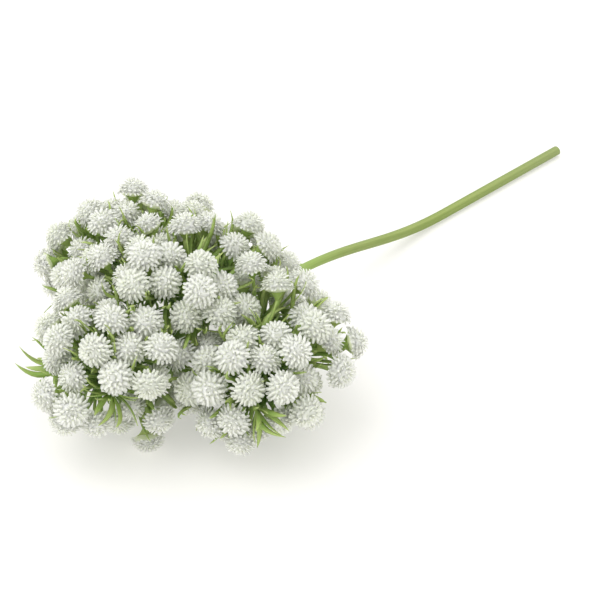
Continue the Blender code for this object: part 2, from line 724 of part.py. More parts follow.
def main():
    """Clear the scene and build the stem."""
    for thing in list(bpy.data.objects):
        bpy.data.objects.remove(thing)
    collection = bpy.data.collections.new("gypsophila stem")
    workshop = bpy.data.collections.new("workshop")
    bpy.context.scene.collection.children.link(collection)
    bpy.context.scene.collection.children.link(workshop)
    white = material("white petals", (0.86, 0.87, 0.83), 0.45)
    lime = material("lime stems", (0.30, 0.47, 0.10), 0.5)
    olive = material("olive stalk", (0.24, 0.31, 0.12), 0.55)
    plan = Plan()
    build_main_stem(collection, workshop, olive)
    build_forks(plan, collection, workshop, lime)
    build_flower_heads(plan, collection, workshop, white)
    for guide in list(workshop.objects):
        bpy.data.objects.remove(guide)
    bpy.data.collections.remove(workshop)


main()
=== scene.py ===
"""The looks of one cut stem of gypsophila in moulded plastic, lying on a pale surface.

The plan of the stem is worked out here again by the rules and the seeded draws that its solids follow,
so each head, each stalk and each leaf of a tuft stands where its solid is. Finer leaves fill the gaps
between them. Z is up, and the stalk's cut end is at +X.
"""
import math

import bmesh
import bpy
import numpy as np
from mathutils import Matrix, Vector


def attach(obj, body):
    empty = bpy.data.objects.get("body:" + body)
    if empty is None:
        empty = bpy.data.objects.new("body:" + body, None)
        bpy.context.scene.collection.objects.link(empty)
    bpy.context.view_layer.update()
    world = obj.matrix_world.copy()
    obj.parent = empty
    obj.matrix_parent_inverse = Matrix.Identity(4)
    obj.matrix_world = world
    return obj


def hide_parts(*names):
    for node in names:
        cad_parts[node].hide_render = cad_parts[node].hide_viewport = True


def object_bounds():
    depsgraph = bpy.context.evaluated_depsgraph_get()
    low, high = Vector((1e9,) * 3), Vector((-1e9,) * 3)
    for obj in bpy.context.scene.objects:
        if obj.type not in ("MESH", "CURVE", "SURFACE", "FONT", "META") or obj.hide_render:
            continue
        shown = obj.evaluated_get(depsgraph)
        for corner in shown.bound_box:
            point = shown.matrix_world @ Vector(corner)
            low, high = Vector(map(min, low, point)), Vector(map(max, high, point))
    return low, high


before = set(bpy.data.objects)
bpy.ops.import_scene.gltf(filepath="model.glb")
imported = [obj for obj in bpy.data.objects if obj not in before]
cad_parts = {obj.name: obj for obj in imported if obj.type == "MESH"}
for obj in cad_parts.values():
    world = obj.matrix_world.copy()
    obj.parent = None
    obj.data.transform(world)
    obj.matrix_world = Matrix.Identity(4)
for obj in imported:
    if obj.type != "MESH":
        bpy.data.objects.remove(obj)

CAD_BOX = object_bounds()

# Driving dimensions, in metres and radians, and the seed of every random draw
SEED = 15
# A distance longer than any in the stem, given to what must not be chosen
FAR = 1.0
# The gap that solids of different nodes keep to each other
SOLIDS_APART = 0.0003

# The flower cloud: its lobes' scale and lift, how deep one lobe hides another, and points tried on each
CLOUD_SCALE = 0.86
LOBE_LIFT = 0.0012
LOBE_OVERLAP = 0.97
SURFACE_POINTS = 2600

# Flower heads, and the bunches that they stand in
HEAD_RADIUS = 0.00525
CORE_RADIUS = 0.0034
SMALLEST_HEAD = 0.95
HEAD_COUNT = 160
FACING_OUT = 0.55
HEAD_TILT = 0.45
TILT_SHARES = (1.0, 0.75, 0.5, 0.25)
LOW_HEAD = 0.012
LOWEST_FACING = -0.25
BUNCH_COUNT = 31
FACING_APART = 0.006
BUNCH_DEPTH = 0.0125
DEEPEST_BUNCH = -0.0060
PROUDEST_BUNCH = 0.0030
HEAD_RAGGEDNESS = 0.0009
SPACE_IN_BUNCH = 0.0091
SPACE_BETWEEN_BUNCHES = 0.0109
SPREADING_ROUNDS = 8
GATHERING_ROUNDS = 12
# Where the cloud faces down, or back at the stalk, heads stand less densely
UNDERSIDE = -0.3
UNDERSIDE_DENSITY = 0.35
STALK_SIDE = 0.6
STALK_SIDE_DENSITY = 0.5

# How the heads settle: their centres' height on the surface, free or pressed flat, and their room.
# The last two are what a head's stalk keeps to other heads' centres, and its calyx to other calyces.
SETTLING_STEPS = 140
CALMING_STEPS = 30
REST_HEIGHT = 0.0046
PRESSED_HEIGHT = 0.0027
STEM_CLEARANCE = 0.0004
THICK_STEM_EXTRA = 0.0002
STALK_ROOM = 0.0062
CALYX_ROOM = 0.0034
# The share of its way that a head moves in each step: away from heads, off stems once some steps are
# done, towards home, less so while calming, and towards its bunch
PUSH_APART = 0.45
PUSH_OFF_STEMS = 0.5
STEPS_BEFORE_STEMS = 20
PULL_HOME = 0.05
CALM_PULL_HOME = 0.01
PULL_TOGETHER = 0.015

# The stalk, with its reaches taken from the junction, and the collar on its end
STALK_RADIUS = 0.0017
STALK_TOP_RADIUS = 0.0014
STALK_REACH = 0.130
STALK_LYING_REACH = 0.074
STALK_RISE_REACH = 0.030
STALK_BOW = 0.0025
STALK_BEND = 0.028
STALK_DIP = 0.0035
COLLAR_RADIUS = 0.0027
COLLAR_LENGTH = 0.0022
COLLAR_LEAD = 0.0018

# The forks: where they start, and how they leave the collar and arrive in their lobes
FORK_SPACING = 0.00145
FORK_LEAD = 0.0012
FORK_REACH = 0.28
FORK_SPLAY = 0.23
FORK_RISE = 0.08
FORK_RISE_APART = 0.09
FORK_LEAVING = 0.35
FORK_ARRIVING = 0.3
# The branchlets that leave the forks
BARE_FORK_STEPS = 7
BRANCH_SLOPE = 0.6
SHORTEST_BRANCHLET = 0.0065
BRANCHLET_EASE = 0.35
ARRIVAL_STRAIGHTNESS = 1.5
# How many straight stretches stand for each of them where room is measured
FORK_STRETCHES = 6
BRANCHLET_STRETCHES = 3

# The nodes at the branchlets' ends, and the stalks and calyces that fan out of them
LOWEST_NODE = 0.0048
NODE_PULL = 0.8
NODE_RADIUS = 0.0013
FACE_DEPTH = 0.795
ROOT_LENGTH = 0.0008
ARCHING = 1.45
WIDEST_ANGLE = 2.0
EXCHANGE_ROUNDS = 4
PEDICEL_RADIUS = 0.0006
CALYX_LENGTH = 0.0017
CUP_DEPTH = 0.447

# Leaves: how many, how long and how steep at each bunch's node and in each tuft, and where tufts stand
BUNCH_LEAVES = 2
BUNCH_LEAF = 0.0130
BUNCH_LEAF_RISE = 0.1
TUFT_COUNT = 9
TUFT_LEAVES = 8
TUFT_LEAF = 0.0125
TUFT_LEAF_RISE = 0.4
TUFT_DEPTH = 0.0070
TUFT_CLEARING = 0.0080
LEAST_TUFT_RISE = 0.05
MOST_TUFT_BACKWARD = 0.75
# How leaves are drawn, and the room that each keeps
LEAF_TRIES = 40
LEAF_STRAY = 0.15
LEAF_RANGE = (0.8, 1.15)
LEAF_BEND = 0.55
LOWEST_LEAF = -0.3
LEAF_TO_HEAD = HEAD_RADIUS + 0.0007
LEAF_TO_STEM = 0.0020
LEAF_TO_OWN = 0.0016
LEAF_TO_GROUND = 0.0012

# Where the stalk ends and the forks begin
JUNCTION = np.array([-0.0162, -0.0020, 0.017])

# Each lobe of the flower cloud: turn in degrees from -X, reach from the junction, height of its
# centre, half its length, width and height, and its upward tilt in degrees, all before scaling
LOBES = (
    (-36.0, 0.052, 0.0232, (0.034, 0.024, 0.021), 3.0),
    (34.0, 0.054, 0.0228, (0.034, 0.024, 0.020), 3.0),
    (-2.0, 0.046, 0.0325, (0.034, 0.026, 0.019), 10.0),
    (0.0, 0.074, 0.0238, (0.034, 0.027, 0.021), 2.0),
)
# On which side of the collar each fork starts, sideways and up
FORK_STARTS = ((1, 0), (-1, 0), (0, 1), (0, -1))
# The three low heads that carry the cloud stand nearest to these places, taken from the junction
REST_SPOTS = ((-0.080, -0.022), (-0.076, 0.024), (-0.042, 0.004))


def unit(vectors):
    """Vectors divided by their own length."""
    return vectors / np.linalg.norm(vectors, axis=-1, keepdims=True)


def bezier(points, t):
    """Points at t on the cubic curve of four control points."""
    t = t[:, None]
    a, b, c, d = points
    return (1 - t) ** 3 * a + 3 * (1 - t) ** 2 * t * b + 3 * (1 - t) * t * t * c + t ** 3 * d


def lobe_frame(turn, reach, height, semi, tilt):
    """A lobe's centre, its three axes (along, sideways, up) and its half lengths."""
    turn = math.radians(turn)
    tilt = math.radians(tilt)
    flat = np.array([-math.cos(turn), -math.sin(turn), 0.0])
    side = np.array([-math.sin(turn), math.cos(turn), 0.0])
    along = flat * math.cos(tilt) + np.array([0.0, 0.0, math.sin(tilt)])
    centre = JUNCTION * (1, 1, 0) + flat * reach * CLOUD_SCALE
    centre[2] = height * CLOUD_SCALE + LOBE_LIFT
    return centre, np.array([along, side, np.cross(side, along)]), np.array(semi) * CLOUD_SCALE


LOBE_FRAMES = [lobe_frame(*lobe) for lobe in LOBES]


def cloud_surface():
    """Points spread evenly on each lobe by the golden angle, kept where no other lobe covers them."""
    i = np.arange(SURFACE_POINTS) + 0.5
    z = 1 - 2 * i / SURFACE_POINTS
    turn = i * math.pi * (3 - math.sqrt(5))
    flat = np.sqrt(1 - z * z)
    ball = np.stack([flat * np.cos(turn), flat * np.sin(turn), z], axis=1)
    spots, normals, lobes = [], [], []
    for k, (centre, axes, semi) in enumerate(LOBE_FRAMES):
        points = centre + (ball * semi) @ axes
        outward = unit((ball / semi) @ axes)
        free = np.ones(SURFACE_POINTS, bool)
        for m, (other, other_axes, other_semi) in enumerate(LOBE_FRAMES):
            if m != k:
                depth = np.linalg.norm((points - other) @ other_axes.T / other_semi, axis=1)
                free &= depth > LOBE_OVERLAP
        points[:, 2] = np.maximum(points[:, 2], REST_HEIGHT)
        spots.append(points[free])
        normals.append(outward[free])
        lobes.append(np.full(free.sum(), k))
    return np.concatenate(spots), np.concatenate(normals), np.concatenate(lobes)


def farthest(points, weight, count, first):
    """Indices of points, each chosen as far as it can be from those before it."""
    chosen = [first]
    near = np.linalg.norm(points - points[first], axis=1)
    for _ in range(count - 1):
        chosen.append(int(np.argmax(near * weight)))
        near = np.minimum(near, np.linalg.norm(points - points[chosen[-1]], axis=1))
    return np.array(chosen)


def even_spread(points, weight, chosen, rounds):
    """Move each chosen point to the weighted middle of what lies nearest to it, a few times over."""
    centres = points[chosen].copy()
    for _ in range(rounds):
        member = np.argmin(np.linalg.norm(points[:, None] - centres[None], axis=2), axis=1)
        for k in range(len(centres)):
            mine = member == k
            centres[k] = np.average(points[mine], axis=0, weights=weight[mine])
        chosen = np.argmin(np.linalg.norm(points[None] - centres[:, None], axis=2), axis=1)
        centres = points[chosen].copy()
    return chosen


def group(features, count, rounds):
    """The number of the group that each row belongs to, groups being rows that lie close together."""
    centres = features[farthest(features, np.ones(len(features)), count, 0)].copy()
    for _ in range(rounds):
        member = np.argmin(np.linalg.norm(features[:, None] - centres[None], axis=2), axis=1)
        for k in range(count):
            if (member == k).any():
                centres[k] = features[member == k].mean(axis=0)
    return member


def from_segments(points, starts, ends):
    """For each point and segment, the vector from the segment's nearest place to the point."""
    run = ends - starts
    share = ((points[:, None] - starts[None]) * run[None]).sum(-1) / (run * run).sum(-1)
    share = np.clip(share, 0, 1)
    return points[:, None] - (starts[None] + share[..., None] * run[None])


def nearest(points, starts, ends):
    """The shortest way from any of the points to any of the segments."""
    return np.linalg.norm(from_segments(points, starts, ends), axis=2).min()


def fork_axis(fork, t):
    """The fork's middle line: it leaves the collar almost straight and bends into its lobe."""
    side, up = FORK_STARTS[fork]
    start = JUNCTION + np.array([-SOLIDS_APART - FORK_LEAD, side * FORK_SPACING, up * FORK_SPACING])
    centre, axes, semi = LOBE_FRAMES[fork]
    end = centre + axes[0] * semi[0] * FORK_REACH
    length = np.linalg.norm(end - start)
    lead = unit(np.array([-1.0, side * FORK_SPLAY, FORK_RISE + up * FORK_RISE_APART]))
    leaving = start + lead * length * FORK_LEAVING
    arriving = end - axes[0] * length * FORK_ARRIVING
    return bezier((start, leaving, arriving, end), t)


# Each fork's middle line as a row of points
AXIS_POINTS = 61
AXIS_STEPS = np.linspace(0, 1, AXIS_POINTS)
AXES = [fork_axis(fork, AXIS_STEPS) for fork in range(len(LOBES))]


def branchlet(fork, node, up, count):
    """A curve from the fork's middle line to a node. It leaves the line at an acute angle."""
    line = AXES[fork]
    length = np.linalg.norm(line[-1] - line[0])
    away = np.linalg.norm(node - line, axis=1)
    cost = away + BRANCH_SLOPE * length * AXIS_STEPS + (away < SHORTEST_BRANCHLET)
    cost[:BARE_FORK_STEPS] += FAR
    at = int(np.argmin(cost))
    start = line[at]
    lead = unit(line[min(at + 1, len(line) - 1)] - line[at - 1])
    reach = np.linalg.norm(node - start)
    arrival = unit(up + ARRIVAL_STRAIGHTNESS * unit(node - start))
    leaving = start + lead * reach * BRANCHLET_EASE
    arriving = node - arrival * reach * BRANCHLET_EASE
    return bezier((start, leaving, arriving, node), np.linspace(0, 1, count))


def node_faces(arrival):
    """The directions of a node's twenty faces. The first looks back along the arriving branchlet."""
    ball = bmesh.new()
    bmesh.ops.create_icosphere(ball, subdivisions=1, radius=1.0)
    ball.faces.ensure_lookup_table()
    turn = ball.faces[0].calc_center_median().rotation_difference(Vector(-arrival))
    ball.transform(turn.to_matrix().to_4x4())
    faces = [np.array(face.calc_center_median().normalized()) for face in ball.faces]
    ball.free()
    return faces


def widen(way, up):
    """A direction turned further from up, so that stalks leave their node well apart and arch inwards."""
    angle = math.acos(min(1.0, max(-1.0, way @ up)))
    side = unit(way - up * (way @ up) + 1e-9)
    wider = min(angle * ARCHING, WIDEST_ANGLE)
    return up * math.cos(wider) + side * math.sin(wider)


def share_faces(ways, faces):
    """A face of the node's ball for each stalk: the fairest free one, then exchanges that fit better."""
    taken = []
    for way in ways:
        taken.append(max(set(range(1, len(faces))) - set(taken), key=lambda face: way @ faces[face]))
    for _ in range(EXCHANGE_ROUNDS):
        for one in range(len(ways)):
            for face in range(1, len(faces)):
                two = taken.index(face) if face in taken else None
                now = ways[one] @ faces[taken[one]] + (ways[two] @ faces[face] if two is not None else 0)
                then = ways[one] @ faces[face] + (ways[two] @ faces[taken[one]] if two is not None else 0)
                if then > now + 1e-9 and two != one:
                    if two is not None:
                        taken[two] = taken[one]
                    taken[one] = face
    return taken


class Plan:
    """Where every head, node and branchlet of the stem lies."""

    def __init__(self):
        self.random = np.random.default_rng(SEED)
        self.place_heads()
        self.settle()
        self.aim_heads()
        self.grow_nodes()

    def place_heads(self):
        """Spread tufts and heads over the cloud, and gather the heads in bunches."""
        spots, outward, lobes = cloud_surface()
        showing = (outward[:, 2] > LEAST_TUFT_RISE) & (outward[:, 0] < MOST_TUFT_BACKWARD)
        first = int(self.random.choice(np.nonzero(showing)[0]))
        tufts = farthest(spots, showing, TUFT_COUNT, first)
        self.tuft_spots = spots[tufts]
        self.tuft_ups = outward[tufts]
        self.tuft_forks = lobes[tufts]
        clear = np.linalg.norm(spots[:, None] - self.tuft_spots[None], axis=2).min(axis=1)
        keep = clear > TUFT_CLEARING
        spots, outward, lobes = spots[keep], outward[keep], lobes[keep]
        weight = np.where(outward[:, 2] < UNDERSIDE, UNDERSIDE_DENSITY, 1.0)
        weight *= np.where(outward[:, 0] > STALK_SIDE, STALK_SIDE_DENSITY, 1.0)
        chosen = farthest(spots, np.sqrt(weight), HEAD_COUNT, int(np.argmax(spots[:, 2])))
        chosen = even_spread(spots, weight, chosen, SPREADING_ROUNDS)
        self.heads = spots[chosen].copy()
        self.outward = outward[chosen]
        features = np.concatenate([self.heads, self.outward * FACING_APART], axis=1)
        self.bunch = group(features, BUNCH_COUNT, GATHERING_ROUNDS)
        self.forks = np.array([
            np.bincount(lobes[chosen][self.bunch == k]).argmax() for k in range(BUNCH_COUNT)
        ])

    def find_nodes(self):
        """Each bunch's node lies inside the cloud, under the middle of its heads."""
        self.middles = np.array([self.heads[self.bunch == k].mean(axis=0) for k in range(BUNCH_COUNT)])
        outward = np.array([self.outward[self.bunch == k].mean(axis=0) for k in range(BUNCH_COUNT)])
        hubs = np.array([LOBE_FRAMES[fork][0] for fork in self.forks])
        self.ups = unit(unit(outward) + NODE_PULL * unit(self.middles - hubs))
        self.nodes = self.middles - self.ups * BUNCH_DEPTH
        self.nodes[:, 2] = np.maximum(self.nodes[:, 2], LOWEST_NODE)

    def pedicels(self):
        """Start and end of each head's stalk."""
        starts = self.nodes[self.bunch]
        return starts, self.heads - unit(self.heads - starts) * CORE_RADIUS * 0.5

    def all_nodes(self):
        """The fork, the place and the upward way of each bunch's node and then of each tuft's."""
        tuft_nodes = self.tuft_spots - self.tuft_ups * TUFT_DEPTH
        forks = np.concatenate([self.forks, self.tuft_forks])
        return zip(forks, np.concatenate([self.nodes, tuft_nodes]), np.concatenate([self.ups, self.tuft_ups]))

    def thick_stems(self):
        """Start and end of each stretch of the branchlets and forks."""
        lines = [branchlet(fork, node, up, BRANCHLET_STRETCHES + 1) for fork, node, up in self.all_nodes()]
        lines += [line[::AXIS_POINTS // FORK_STRETCHES] for line in AXES]
        starts = np.concatenate([line[:-1] for line in lines])
        return starts, np.concatenate([line[1:] for line in lines])

    def settle(self):
        """Push heads apart and off the stems, and draw each bunch together, until all have room."""
        depth = self.random.uniform(DEEPEST_BUNCH, PROUDEST_BUNCH, BUNCH_COUNT)[self.bunch]
        depth += self.random.normal(0, HEAD_RAGGEDNESS, HEAD_COUNT)
        home = self.heads + self.outward * depth[:, None]
        lowest = np.full(HEAD_COUNT, REST_HEIGHT)
        for spot in REST_SPOTS:
            away = np.linalg.norm(home[:, :2] - JUNCTION[:2] - spot, axis=1) + 2 * home[:, 2]
            away[lowest < REST_HEIGHT] = FAR
            lowest[np.argmin(away)] = PRESSED_HEIGHT
        carriers = lowest < REST_HEIGHT
        home[carriers, 2] = PRESSED_HEIGHT
        self.heads = home.copy()
        same = self.bunch[:, None] == self.bunch[None]
        space = np.where(same, SPACE_IN_BUNCH, SPACE_BETWEEN_BUNCHES)
        room = HEAD_RADIUS + PEDICEL_RADIUS + STEM_CLEARANCE
        for step in range(SETTLING_STEPS):
            apart = self.heads[:, None] - self.heads[None]
            distance = np.linalg.norm(apart, axis=2) + FAR * np.eye(HEAD_COUNT)
            push = np.clip(space - distance, 0, None) * PUSH_APART
            move = (apart / distance[..., None] * push[..., None]).sum(axis=1)
            self.find_nodes()
            ease = PULL_HOME if step < SETTLING_STEPS - CALMING_STEPS else CALM_PULL_HOME
            move += ease * (home - self.heads) + PULL_TOGETHER * (self.middles[self.bunch] - self.heads)
            self.heads += move
            if step > STEPS_BEFORE_STEMS:
                for starts, ends, own in (self.pedicels() + (True,), self.thick_stems() + (False,)):
                    away = from_segments(self.heads, starts, ends)
                    distance = np.linalg.norm(away, axis=2)
                    if own:
                        np.fill_diagonal(distance, FAR)
                    push = np.clip(room + (0 if own else THICK_STEM_EXTRA) - distance, 0, None)
                    push *= PUSH_OFF_STEMS
                    away = away / np.maximum(distance, 1e-5)[..., None]
                    self.heads += (away * push[..., None]).sum(axis=1)
            self.heads[:, 2] = np.maximum(self.heads[:, 2], lowest)
            self.heads[carriers, 2] = PRESSED_HEIGHT
            self.heads = np.round(self.heads, 7)
        self.find_nodes()

    def seat(self, m, aim):
        """Where head m's calyx starts and ends when the head faces along aim."""
        cup = self.heads[m] - aim * (CORE_RADIUS * CUP_DEPTH + SOLIDS_APART)
        return cup - aim * CALYX_LENGTH, cup

    def room_under(self, m, aim):
        """How far the stalk and calyx of head m keep from other heads, and its calyx from others."""
        neck, cup = self.seat(m, aim)
        line = np.array([self.nodes[self.bunch[m]], neck, cup])
        to_heads = nearest(np.delete(self.heads, m, axis=0), line[:-1], line[1:])
        middles = np.delete((self.necks + self.cups) / 2, m, axis=0)
        return to_heads, np.linalg.norm(middles - (neck + cup) / 2, axis=1).min()

    def aim_heads(self):
        """Turn each head from its stalk's line to the outside and at random, as far as it has room."""
        straight = unit(self.heads - self.nodes[self.bunch])
        lean = FACING_OUT * self.outward + HEAD_TILT * self.random.normal(size=(HEAD_COUNT, 3))
        self.aims = straight.copy()
        self.necks, self.cups = self.seat(slice(None), self.aims)
        for m in range(HEAD_COUNT):
            heads_off, cups_off = self.room_under(m, straight[m])
            for share in TILT_SHARES:
                aim = straight[m] + share * lean[m]
                if self.heads[m, 2] < LOW_HEAD:
                    aim[2] = max(aim[2], LOWEST_FACING)
                aim = unit(aim)
                to_heads, to_cups = self.room_under(m, aim)
                if to_heads > min(heads_off, STALK_ROOM) and to_cups > min(cups_off, CALYX_ROOM):
                    self.aims[m] = aim
                    self.necks[m], self.cups[m] = self.seat(m, aim)
                    break
        self.spins = self.random.uniform(0, 2 * math.pi, HEAD_COUNT)
        self.sizes = self.random.uniform(SMALLEST_HEAD, 1.0, HEAD_COUNT)

    def stems(self):
        """Every green stretch outside the leaves: its node's number, or -1 on a fork, its start and end."""
        starts, ends = self.pedicels()
        thick_starts, thick_ends = self.thick_stems()
        branchlets = np.repeat(np.arange(BUNCH_COUNT + TUFT_COUNT), BRANCHLET_STRETCHES)
        owners = np.concatenate([self.bunch, branchlets, np.repeat(-1, len(AXES) * FORK_STRETCHES)])
        return owners, np.concatenate([starts, thick_starts]), np.concatenate([ends, thick_ends])

    def draw_leaf(self, node, root, way, length):
        """A leaf's root, middle and tip, drawn at random round a way out of its node."""
        way = unit(way + LEAF_STRAY * self.random.normal(size=3))
        reach = length * self.random.uniform(*LEAF_RANGE)
        tip = unit(way + LEAF_STRAY * self.random.normal(size=3)) * reach
        return np.array([root, node + way * reach * LEAF_BEND, node + tip])

    def has_room(self, leaf, starts, ends, own):
        """Whether a leaf keeps off heads, other nodes' stems, its own node's limbs and the ground."""
        along = leaf[0] + (leaf[2] - leaf[0]) * np.linspace(0, 1, 6)[:, None]
        along = np.concatenate([along, leaf[1:2]])
        to_heads = nearest(self.heads, leaf[:-1], leaf[1:])
        to_stems = nearest(along, starts, ends)
        to_own = nearest(along[1:], own[:, 0], own[:, 1])
        clear = to_heads > LEAF_TO_HEAD and to_stems > LEAF_TO_STEM and to_own > LEAF_TO_OWN
        return clear and leaf[:, 2].min() > LEAF_TO_GROUND

    def grow_nodes(self):
        """At each node, give every stalk a face of the node's ball, and leaves some of those left."""
        self.limbs = []
        owners, starts, ends = self.stems()
        for bunch, (fork, node, up) in enumerate(self.all_nodes()):
            leaves, length, rise = BUNCH_LEAVES, BUNCH_LEAF, BUNCH_LEAF_RISE
            if bunch >= BUNCH_COUNT:
                leaves, length, rise = TUFT_LEAVES, TUFT_LEAF, TUFT_LEAF_RISE
            back = branchlet(fork, node, up, BRANCHLET_STRETCHES + 1)
            faces = node_faces(unit(node - back[-2]))
            stalks = [(self.necks[m], self.cups[m]) for m in np.nonzero(self.bunch == bunch)[0]]
            taken = share_faces([widen(unit(neck - node), up) for neck, _ in stalks], faces)
            free = [face for face in range(1, len(faces)) if face not in taken]
            free.sort(key=lambda face: -(faces[face] @ up))
            roots = node + np.array(faces) * (NODE_RADIUS * FACE_DEPTH + ROOT_LENGTH)
            limbs = [("stalk", (roots[face], *places)) for face, places in zip(taken, stalks)]
            own = np.array([places[:2] for _, places in limbs]).reshape(-1, 2, 3)
            own = np.concatenate([own, np.stack([back[:-2], back[1:-1]], axis=1)])
            grown = 0
            for face in free:
                if grown == leaves or faces[face] @ up < LOWEST_LEAF:
                    break
                others = owners != bunch
                for _ in range(LEAF_TRIES):
                    leaf = self.draw_leaf(node, roots[face], faces[face] + rise * up, length)
                    if self.has_room(leaf, starts[others], ends[others], own):
                        limbs.append(("leaf", leaf))
                        own = np.concatenate([own, [leaf[:2], leaf[1:]]])
                        grown += 1
                        owners = np.append(owners, [bunch, bunch])
                        starts = np.concatenate([starts, leaf[:-1]])
                        ends = np.concatenate([ends, leaf[1:]])
                        # The solid's leaf draws its roll here, so that the draws stay in step
                        self.random.uniform(0, math.pi)
                        break
            self.limbs.append((fork, node, up, limbs))


# Fine petals: how many stand in each ring, their angle from the head's aim in degrees, and their reach
PETAL_RINGS = (
    (22, 96.0, 1.00),
    (19, 81.0, 0.97),
    (16, 65.0, 0.965),
    (12, 48.0, 0.96),
    (8, 31.0, 0.95),
    (4, 13.0, 0.93),
)

# Where a petal's sections stand along it, their widths, and the petal's half width, thickness and fold
PETAL_STEPS = np.array([0.0, 0.4, 0.7, 0.9, 1.0])
PETAL_WIDTHS = np.array([0.7, 1.0, 0.98, 0.78, 0.30])
PETAL_HALF_WIDTH = 0.00048
PETAL_THICKNESS = 0.00022
PETAL_FOLD = 0.45
# Where petals start, as a share of the head's radius, and by how many degrees a petal's root lags behind
# its tip where the petal stands at the leaning angle
PETAL_ROOT = 0.56
PETAL_LEAN = 30.0
LEANING_ANGLE = 100.0
# How petals of a ring differ: in turn by radians, in angle and lean by degrees, in reach and width
TURN_STRAY = 0.045
ANGLE_STRAY = 2.6
LEAN_STRAY = 3.0
REACH_RANGE = (0.93, 1.0)
WIDTH_RANGE = (0.85, 1.1)

# A head's body, from its foot round its rim to its top: radius and height over the head's middle, and how
# far its paint runs from a petal's root colour towards white
BODY_PROFILE = np.array([
    (0.00050, -0.00152), (0.00240, -0.00128), (0.00350, -0.00075), (0.00412, -0.00005),
    (0.00395, 0.00070), (0.00330, 0.00185), (0.00215, 0.00290), (0.00060, 0.00350),
])
BODY_PAINT = np.array([0.0, 0.08, 0.18, 0.5, 0.6, 0.6, 0.6, 0.6])

# A calyx, from its neck up its outside, over its rim and down inside: radius and height over the neck,
# and how far its sepals wave the radius
CALYX_PROFILE = np.array([
    (0.00045, -0.0003), (0.00060, 0.0002), (0.00100, 0.0008), (0.00145, 0.0014), (0.00185, 0.0020),
    (0.00215, 0.0024), (0.00150, 0.0020), (0.00040, 0.0016),
])
CALYX_WAVE = np.array([0.0, 0.04, 0.06, 0.10, 0.22, 0.38, 0.2, 0.0])
SEPALS = 5

# What lies lower than the first height is squeezed, and nothing comes lower than the second
PRESS_HEIGHT = 0.0015
PRESS_FLOOR = 0.00006
# How upright a direction is, from 0 to 1, when Z no longer serves to find the directions square to it
STEEP = 0.8

# The outline across a petal or leaf, as shares of its half width and its half thickness
BLADE_OUTLINE = ((1, 0), (0, 1), (-1, 0), (0, -1))
# Leaves: their sections and size, the powers that shape the lance, the width kept at foot and tip, how
# far a leaf may turn about its length, in radians, and where on its root it starts within the node
LEAF_SECTIONS = 9
LEAF_HALF_WIDTH = 0.00085
LEAF_THICKNESS = 0.00022
LEAF_FOLD = 0.35
LANCE_LEAN = 0.72
LANCE_FULLNESS = 0.75
LEAF_FOOT = 0.12
LEAF_POINT = 0.04
LEAF_TURN = 0.9
LEAF_START = 0.4

# Small leaves that rise between heads: how far apart heads with a gap between them may stand, the room
# that a leaf keeps to heads' middles, how far apart gaps lie, and how far a leaf stands out of its gap
GAP_SPAN = 0.0155
GAP_ROOM = 0.0045
GAP_SPACING = 0.0036
GAP_RISE = (0.0010, 0.0075)
# How many rise through one gap, from how many nodes near it they are tried, how deep those nodes should
# lie as a share of a bunch's depth, how far under the gap a leaf bends, how it strays, and its width
GAP_LEAVES = 2
GAP_NODES = 4
GAP_DEPTH = 0.8
GAP_BEND = 0.002
GAP_STRAY = 0.3
GAP_WIDTHS = (0.75, 1.0)

# Pairs of small leaves along branchlets and forks: their places as shares of the branch, their lengths,
# their middle and tip as shares of a length outward and along the branch, and their half width
BRACT_PLACES = (0.42, 0.72)
BRACT_LENGTH = 0.0062
FORK_PLACES = (0.20, 0.30, 0.40, 0.50, 0.60, 0.70, 0.80, 0.90, 0.97)
FORK_LEAF = 0.0120
BRACT_RANGE = (0.7, 1.1)
BRACT_MIDDLE = (0.55, 0.35)
BRACT_TIP = (0.75, 0.8)
BRACT_HALF_WIDTH = LEAF_HALF_WIDTH * 0.8

# Leaves that spread under the heads from each node: how many, how long, how they lean out and arch, their
# width and room, and the share of each half of a leaf that may come nearer
SPREAD_LEAVES = 10
SPREAD_TRIES = 14
SPREAD_LENGTH = (0.0065, 0.0115)
SPREAD_LEAN = (-0.45, 0.80)
SPREAD_ARCH = 0.12
SPREAD_WIDTHS = (0.7, 1.0)
SPREAD_ROOM = 0.0045
SPREAD_NEARER = 0.3

# How many sides the round forms have
STALK_SIDES = 28
BODY_SIDES = 16
FORK_SIDES = 12
BALL_SIDES = 12
BRANCHLET_SIDES = 10
PEDICEL_SIDES = 6
# Where stems have which radius: shares of their length from where they start, and radii
FORK_TAPER = ((0, 0.0011), (0.1, 0.00092), (1, 0.00075))
BRANCHLET_TAPER = ((0, 0.00105), (0.12, 0.00068), (0.9, 0.00062), (1, 0.0009))
PEDICEL_TAPER = ((0, 0.00075), (0.2, 0.00055), (0.5, 0.00046), (0.9, 0.00048), (1, 0.0006))
# How many points stems have along them, and how straight a head's stalk leaves its node and arrives
BRANCHLET_POINTS = 18
PEDICEL_POINTS = 8
PEDICEL_LEAVING = 0.4
PEDICEL_ARRIVING = 0.3

# How far a fork runs on into the collar, its tone, and the ball at a node: its rings, how far from its
# poles in radians they start, and its half sizes
FORK_TUCK = 0.0012
FORK_TONE = 0.4
BALL_RINGS = 8
BALL_OPENING = 0.15
BALL_RADIUS = 0.00115
BALL_HALF_LENGTH = 0.0013

# The thick stalk's points where it lies and where it bends, the share of its lying length that the
# cut end takes, its lift off the floor, and the drift of the streaks along it
LYING_POINTS = 30
LYING_START = 0.004
BEND_POINTS = 60
STALK_LIFT = 0.00005
STREAK_DRIFT = 0.024
# Rings at the cut end, from its flat face on: how far back from the cut, and share of the stalk's radius
CUT_RINGS = np.array([(0, 0.78), (0.000002, 0.93), (0.00006, 0.985)])
